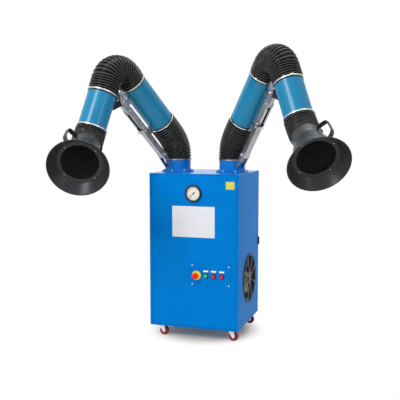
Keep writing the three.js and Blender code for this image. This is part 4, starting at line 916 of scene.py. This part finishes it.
# Flange on the cabinet, collar that swivels on it, and the bracket of the shoulder
def make_foot(tag, foot, body):
    rim = HEIGHT + 0.0083
    flange = [(FLANGE_IN, HEIGHT + 0.0003), (FLANGE_R, HEIGHT + 0.0003), (FLANGE_R, rim - 0.0015),
              (FLANGE_R - 0.0015, rim), (FLANGE_LIP, rim), (FLANGE_LIP, HEIGHT + 0.0343),
              (FLANGE_IN, HEIGHT + 0.0343)]
    turned(tag + "flange_disc", flange, foot, COLLAR_BLUE, 96, body="cabinet", slot="cabinet_blue",
           stands_for=tag + "base_flange")
    bm = bmesh.new()
    for i in range(FLANGE_BOLTS):
        turn = spin((i + 0.5) * 360 / FLANGE_BOLTS, "Z")
        bolt_head(bm, foot @ turn @ spot(FLANGE_BOLT_R, 0, rim - 0.0001), 0.0050, 0.006)
    add_piece(tag + "flange_bolts", bm, ZINC, "cabinet", "zinc")

    low, step, bore = HEIGHT + 0.0086, HEIGHT + 0.0166, TUBE_R - TUBE_WALL
    collar = [(COLLAR_IN, low), (COLLAR_R - 0.0010, low), (COLLAR_R, low + 0.0010), (COLLAR_R, step - 0.0010),
              (COLLAR_R - 0.0010, step), (TUBE_R + 0.0025, step), (TUBE_R, step + 0.0024),
              (TUBE_R, COLLAR_TOP), (bore, COLLAR_TOP), (bore, step), (COLLAR_IN, step)]
    turned(tag + "collar_turned", collar, foot, COLLAR_BLUE, 96, body=body["swivel"], slot="cabinet_blue",
           stands_for=tag + "swivel_collar")
    bm = bmesh.new()
    lug = [(0.0850, HEIGHT + 0.030), (0.0964, HEIGHT + 0.030)]
    lug += arc_points(SHOULDER_R, SHOULDER_Z, LUG_R, -30, 150, 20)
    lug += [(0.0994, HEIGHT + 0.058), (0.0850, HEIGHT + 0.058)]
    for side, y in zip((-1, 1), LUG_YS):
        plate_into(bm, lug, (y, y + LUG_THICK), bevel=0.0008)
        outside = y + LUG_THICK if side > 0 else y
        for z in LUG_BOLT_ZS:
            bolt_head(bm, spot(LUG_BOLT_X, outside, z) @ across_y(side), 0.0030, 0.0030)
    add_piece(tag + "foot_bracket", bm, ALUMINIUM, body["swivel"], "zinc", place=foot)


def make_shoulder_hose(tag, foot, link, slope, body):
    away = Vector((math.cos(slope), 0, math.sin(slope)))
    square = Vector((-math.sin(slope), 0, math.cos(slope)))
    p0 = Vector((0, 0, COLLAR_TOP))
    p3 = Vector((SHOULDER_R, 0, SHOULDER_Z)) + away * LOWER_START + square * OFFSET
    pull = (p3 - p0).length * (0.36 + 0.04 * (math.pi / 2 - slope))
    path, length = bezier_path(p0, p0 + Vector((0, 0, pull)), p3 - away * pull, p3)
    hose = make_hose(tag + "shoulder_hose_ribs", path, length, foot, tag + "shoulder_hose", SHORT_SLEEVE)
    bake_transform(hose)
    collar = foot @ spot(0, 0, COLLAR_TOP - CLAMP_NEAR)
    make_clamp(tag + "clamp_collar", collar, body["swivel"], 100, ZINC_DARK)
    lower = link @ spot(LOWER_START + CLAMP_IN, 0, OFFSET) @ ALONG_X
    make_clamp(tag + "clamp_lower_foot", lower, body["lower"], 60)


def make_tubes(tag, link, reach, body):
    bore = TUBE_R - TUBE_WALL
    for part, start, stop, carrier in (
        ("lower", LOWER_START, BEAM + TUBE_HEAD, link),
        ("upper", 0, UPPER_LENGTH + TUBE_TAIL, reach),
    ):
        tube = [(bore, start), (TUBE_R, start), (TUBE_R, stop), (bore, stop)]
        turned(tag + part + "_tube_turned", tube, carrier @ spot(0, 0, OFFSET) @ ALONG_X, TUBE_BLUE, 96,
               body=body[part], slot="tube_blue", stands_for=tag + part + "_tube")


# Beam along the lower tube: gas strut, bolts, covers of the elbow, lips of the channel and knob
def make_beam_trim(tag, link, reach, body):
    for node in ("lower_beam", "upper_channel", "elbow_bracket"):
        dress(tag + node, ALUMINIUM, BEAM_EDGE)
    dress(tag + "elbow_knuckle", GRIP, BEAM_EDGE)
    strut = [(0, 0.2453), (0.0075, 0.2453), (0.0100, 0.2490), (0.0100, 0.3665), (0.0088, 0.3702),
             (0.0045, 0.3706), (0.0045, 0.3855), (0, 0.3855)]
    turned(tag + "gas_strut", strut, link @ ALONG_X, STEEL, 40, body=body["lower"], slot="dark_metal",
           stands_for=tag + "gas_spring")

    bm = bmesh.new()
    for side in (-1, 1):
        for x in SADDLE_XS:
            bolt_head(bm, link @ spot(x, side * BEAM_SIDE, -0.004) @ across_y(side), 0.0045, 0.005)
        bolt_head(bm, link @ spot(0, side * SHOULDER_BOLT_Y, 0) @ across_y(side), 0.0085, 0.0075)
        bolt_head(bm, link @ spot(CHANNEL_END_X, side * BEAM_SIDE, 0) @ across_y(side), 0.0045, 0.005)
        bolt_head(bm, reach @ spot(0, side * ELBOW_BOLT_Y, 0) @ across_y(side), 0.0078, 0.006)
    add_piece(tag + "beam_bolts", bm, ZINC, body["lower"], "zinc")

    bm = bmesh.new()
    lean = math.radians(COVER_LEAN)
    tip = (BEAM + COVER_REACH * math.cos(lean), COVER_REACH * math.sin(lean))
    turn = COVER_LEAN + 90
    cover = arc_points(*tip, COVER_TIP_R, turn - 180, turn, 12)
    cover += arc_points(BEAM, 0, COVER_R, turn, turn + 180, 16)
    for y in COVER_YS:
        plate_into(bm, cover, (y, y + COVER_THICK), bevel=0.0008)
    add_piece(tag + "elbow_covers", bm, ALUMINIUM, body["lower"], "zinc", place=link)

    bm = bmesh.new()
    for side in (-1, 1):
        box_into(bm, LIP_XS, flank(side, LIP_IN, LIP_OUT), LIP_ZS, link, 0.0004)
    add_piece(tag + "channel_lips", bm, ALUMINIUM, body["lower"], "zinc")

    knob = [(0, 0), (0.0060, 0), (0.0060, 0.0060), (0.0125, 0.0070), (0.0138, 0.0090), (0.0138, 0.0170),
            (0.0120, 0.0185), (0, 0.0190)]
    turned(tag + "beam_knob", knob, link @ spot(KNOB_X, 0, KNOB_Z) @ spin(180, "X"), ZINC, 12,
           body=body["lower"], slot="zinc")


def make_elbow_hose(tag, link, elbow, reach, angle, body):
    slack = (OFFSET - ELBOW_R) * math.tan(angle / 2)
    path, length = bend_path(ELBOW_R, angle, slack - TUBE_HEAD, slack)
    bend = elbow @ spot(slack, 0, OFFSET - ELBOW_R)
    hose = make_hose(tag + "elbow_hose_ribs", path, length, bend, tag + "elbow_hose")
    bend @ path(0)[0]
    bend @ path(length)[0]
    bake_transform(hose)
    lower = link @ spot(BEAM + TUBE_HEAD - CLAMP_IN, 0, OFFSET) @ ALONG_X
    make_clamp(tag + "clamp_lower_head", lower, body["lower"], 200)
    upper = reach @ spot(CLAMP_IN, 0, OFFSET) @ ALONG_X
    make_clamp(tag + "clamp_upper_head", upper, body["upper"], 200)


# The blend starts and ends further in than the hose does, so that the cuffs stay stiff
def make_hood_hose(tag, wrist, head, angle, body):
    bent = HOOD_PIVOT - TUBE_TAIL
    radius = bent / math.tan(angle / 2)
    path, length = bend_path(radius, angle, 0.0, TUBE_TAIL + NECK_LAP)
    bend = wrist @ spot(-bent, 0, 0) @ spin(180, "X") @ spot(0, 0, -radius)
    hose = make_hose(tag + "hood_hose_ribs", path, length, bend, tag + "hood_hose",
                     SHORT_SLEEVE, SHORT_SLEEVE, LOW_RIB, 0.0, WIDE_PITCH)
    start, end = bend @ path(0)[0], head @ Vector((HOOD_PIVOT, 0, 0))
    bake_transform(hose)
    upper = wrist @ spot(-bent - CLAMP_NEAR, 0, 0) @ ALONG_X
    make_clamp(tag + "clamp_upper_foot", upper, body["yoke"], 90)
    neck = head @ spot(HOOD_PIVOT + NECK_LAP + CLAMP_NEAR, 0, 0) @ ALONG_X
    make_clamp(tag + "clamp_hood", neck, body["head"], 90, GRIP, "hood_charcoal")


# Neck, cone and flared rim, with the two ears and pins inside the neck, and the rivets of the ring
def make_hood_shell(tag, head, roll, body):
    bore = TUBE_R - HOOD_WALL
    outside = [
        (bore, HOOD_PIVOT), (TUBE_R, HOOD_PIVOT), (TUBE_R, NECK_END - 0.012), (TUBE_R + 0.0025, NECK_END),
        (TUBE_R + 0.0085, NECK_END + 0.015), (CONE_R - 0.0045, FLARE - 0.012), (CONE_R, FLARE - 0.001),
        (CONE_R + 0.0035, FLARE + 0.004), (RIM_R - 0.0045, HOOD_D - 0.009), (RIM_R - 0.0015, HOOD_D - 0.006),
        (RIM_R, HOOD_D - 0.0035), (RIM_R - 0.0005, HOOD_D - 0.0012),
    ]
    inside = [
        (RIM_R - 0.0022, HOOD_D), (RIM_R - 0.0045, HOOD_D - 0.0006), (RIM_R - 0.0065, HOOD_D - 0.004),
        (CONE_R, FLARE + 0.004), (CONE_R - 0.0028, FLARE + 0.001), (CONE_R - 0.0028, FLARE - 0.008),
        (TUBE_R + 0.0055, NECK_END + 0.016), (bore, NECK_END + 0.002),
    ]
    bm = bmesh.new()
    revolved(bm, outside + inside, 128, ALONG_X)
    ear = arc_points(0, 0, EAR_R, 90, 270, 14) + [(EAR_END, -EAR_R), (EAR_END, EAR_R)]
    for side in (-1, 1):
        plate_into(bm, ear, flank(side, EAR_IN, EAR_OUT), bevel=0.0006)
        box_into(bm, EAR_FOOT_XS, flank(side, EAR_IN, EAR_FOOT), (-EAR_R, EAR_R), bevel=0.001)
        low, high = flank(side, PIN_IN, PIN_OUT)
        revolved(bm, [(0, low), (PIN_R, low), (PIN_R, high), (0, high)], 24, across_y(1))
    add_piece(tag + "hood_shell", bm, CHARCOAL, body["head"], "hood_charcoal", tag + "hood", head, 40)

    bm = bmesh.new()
    for i in range(4):
        screw_head(bm, roll @ spin(90 * i, "X") @ spot(FLARE, 0, RIVET_R) @ ALONG_X, 0.0030)
    add_piece(tag + "ring_rivets", bm, STEEL, body["head"], "zinc", place=head)


# Handle: a flat rounded strap along a line with rounded corners
def make_handle(tag, place, body):
    corners = [Vector((x, 0, z)) for x, z in HANDLE_CORNERS]
    line = [corners[0]]
    for before, corner, after in zip(corners, corners[1:], corners[2:]):
        enter = corner + (before - corner).normalized() * HANDLE_ROUND
        leave = corner + (after - corner).normalized() * HANDLE_ROUND
        for i in range(9):
            t = i / 8
            line.append(enter * (1 - t) ** 2 + corner * 2 * t * (1 - t) + leave * t * t)
    line.append(corners[-1])
    bm = bmesh.new()
    rings = []
    for i, point in enumerate(line):
        way = line[min(i + 1, len(line) - 1)] - line[max(i - 1, 0)]
        across = Vector((-way.z, 0, way.x)).normalized()
        ring = []
        for c, s in around(24):
            wide = HANDLE_WIDE * math.copysign(abs(c) ** 0.55, c)
            deep = HANDLE_DEEP * math.copysign(abs(s) ** 0.7, s)
            ring.append(bm.verts.new(point + Vector((0, wide, 0)) + across * deep))
        rings.append(ring)
    ring_faces(bm, rings)
    add_piece(tag + "handle_loop", bm, CHARCOAL, body["head"], "hood_charcoal", tag + "hood_handle",
              place, 60)


def make_hood_mesh(tag, head, body):
    bm = bmesh.new()
    face = RING_BACK + RING_THICK
    ring = [(RING_IN - 0.0010, RING_BACK), (RING_R, RING_BACK), (RING_R, face), (RING_IN + 0.0015, face),
            (RING_IN, face - 0.0010)]
    revolved(bm, ring, 128, ALONG_X)
    add_piece(tag + "mesh_ring", bm, RING_GREY, body["head"], "hood_charcoal", place=head)
    bm = bmesh.new()
    near, far = RING_BACK + MESH_NEAR, RING_BACK + MESH_FAR
    for i in range(MESH_WIRES):
        off = RING_IN * (2 * (i + 1) / (MESH_WIRES + 1) - 1)
        chord = math.sqrt(RING_IN ** 2 - off ** 2)
        bar_into(bm, [(near, -chord, off), (near, chord, off)], MESH_WIRE, 6)
        bar_into(bm, [(far, off, -chord), (far, off, chord)], MESH_WIRE, 6)
    add_piece(tag + "mesh_wires", bm, SOOT, body["head"], "dark_metal", tag + "hood_mesh", head)


make_floor()
make_world()
make_studio()
make_cabinet()
make_door()
make_gauge()
make_casters()
for arm in ARMS:
    make_arm(*arm)
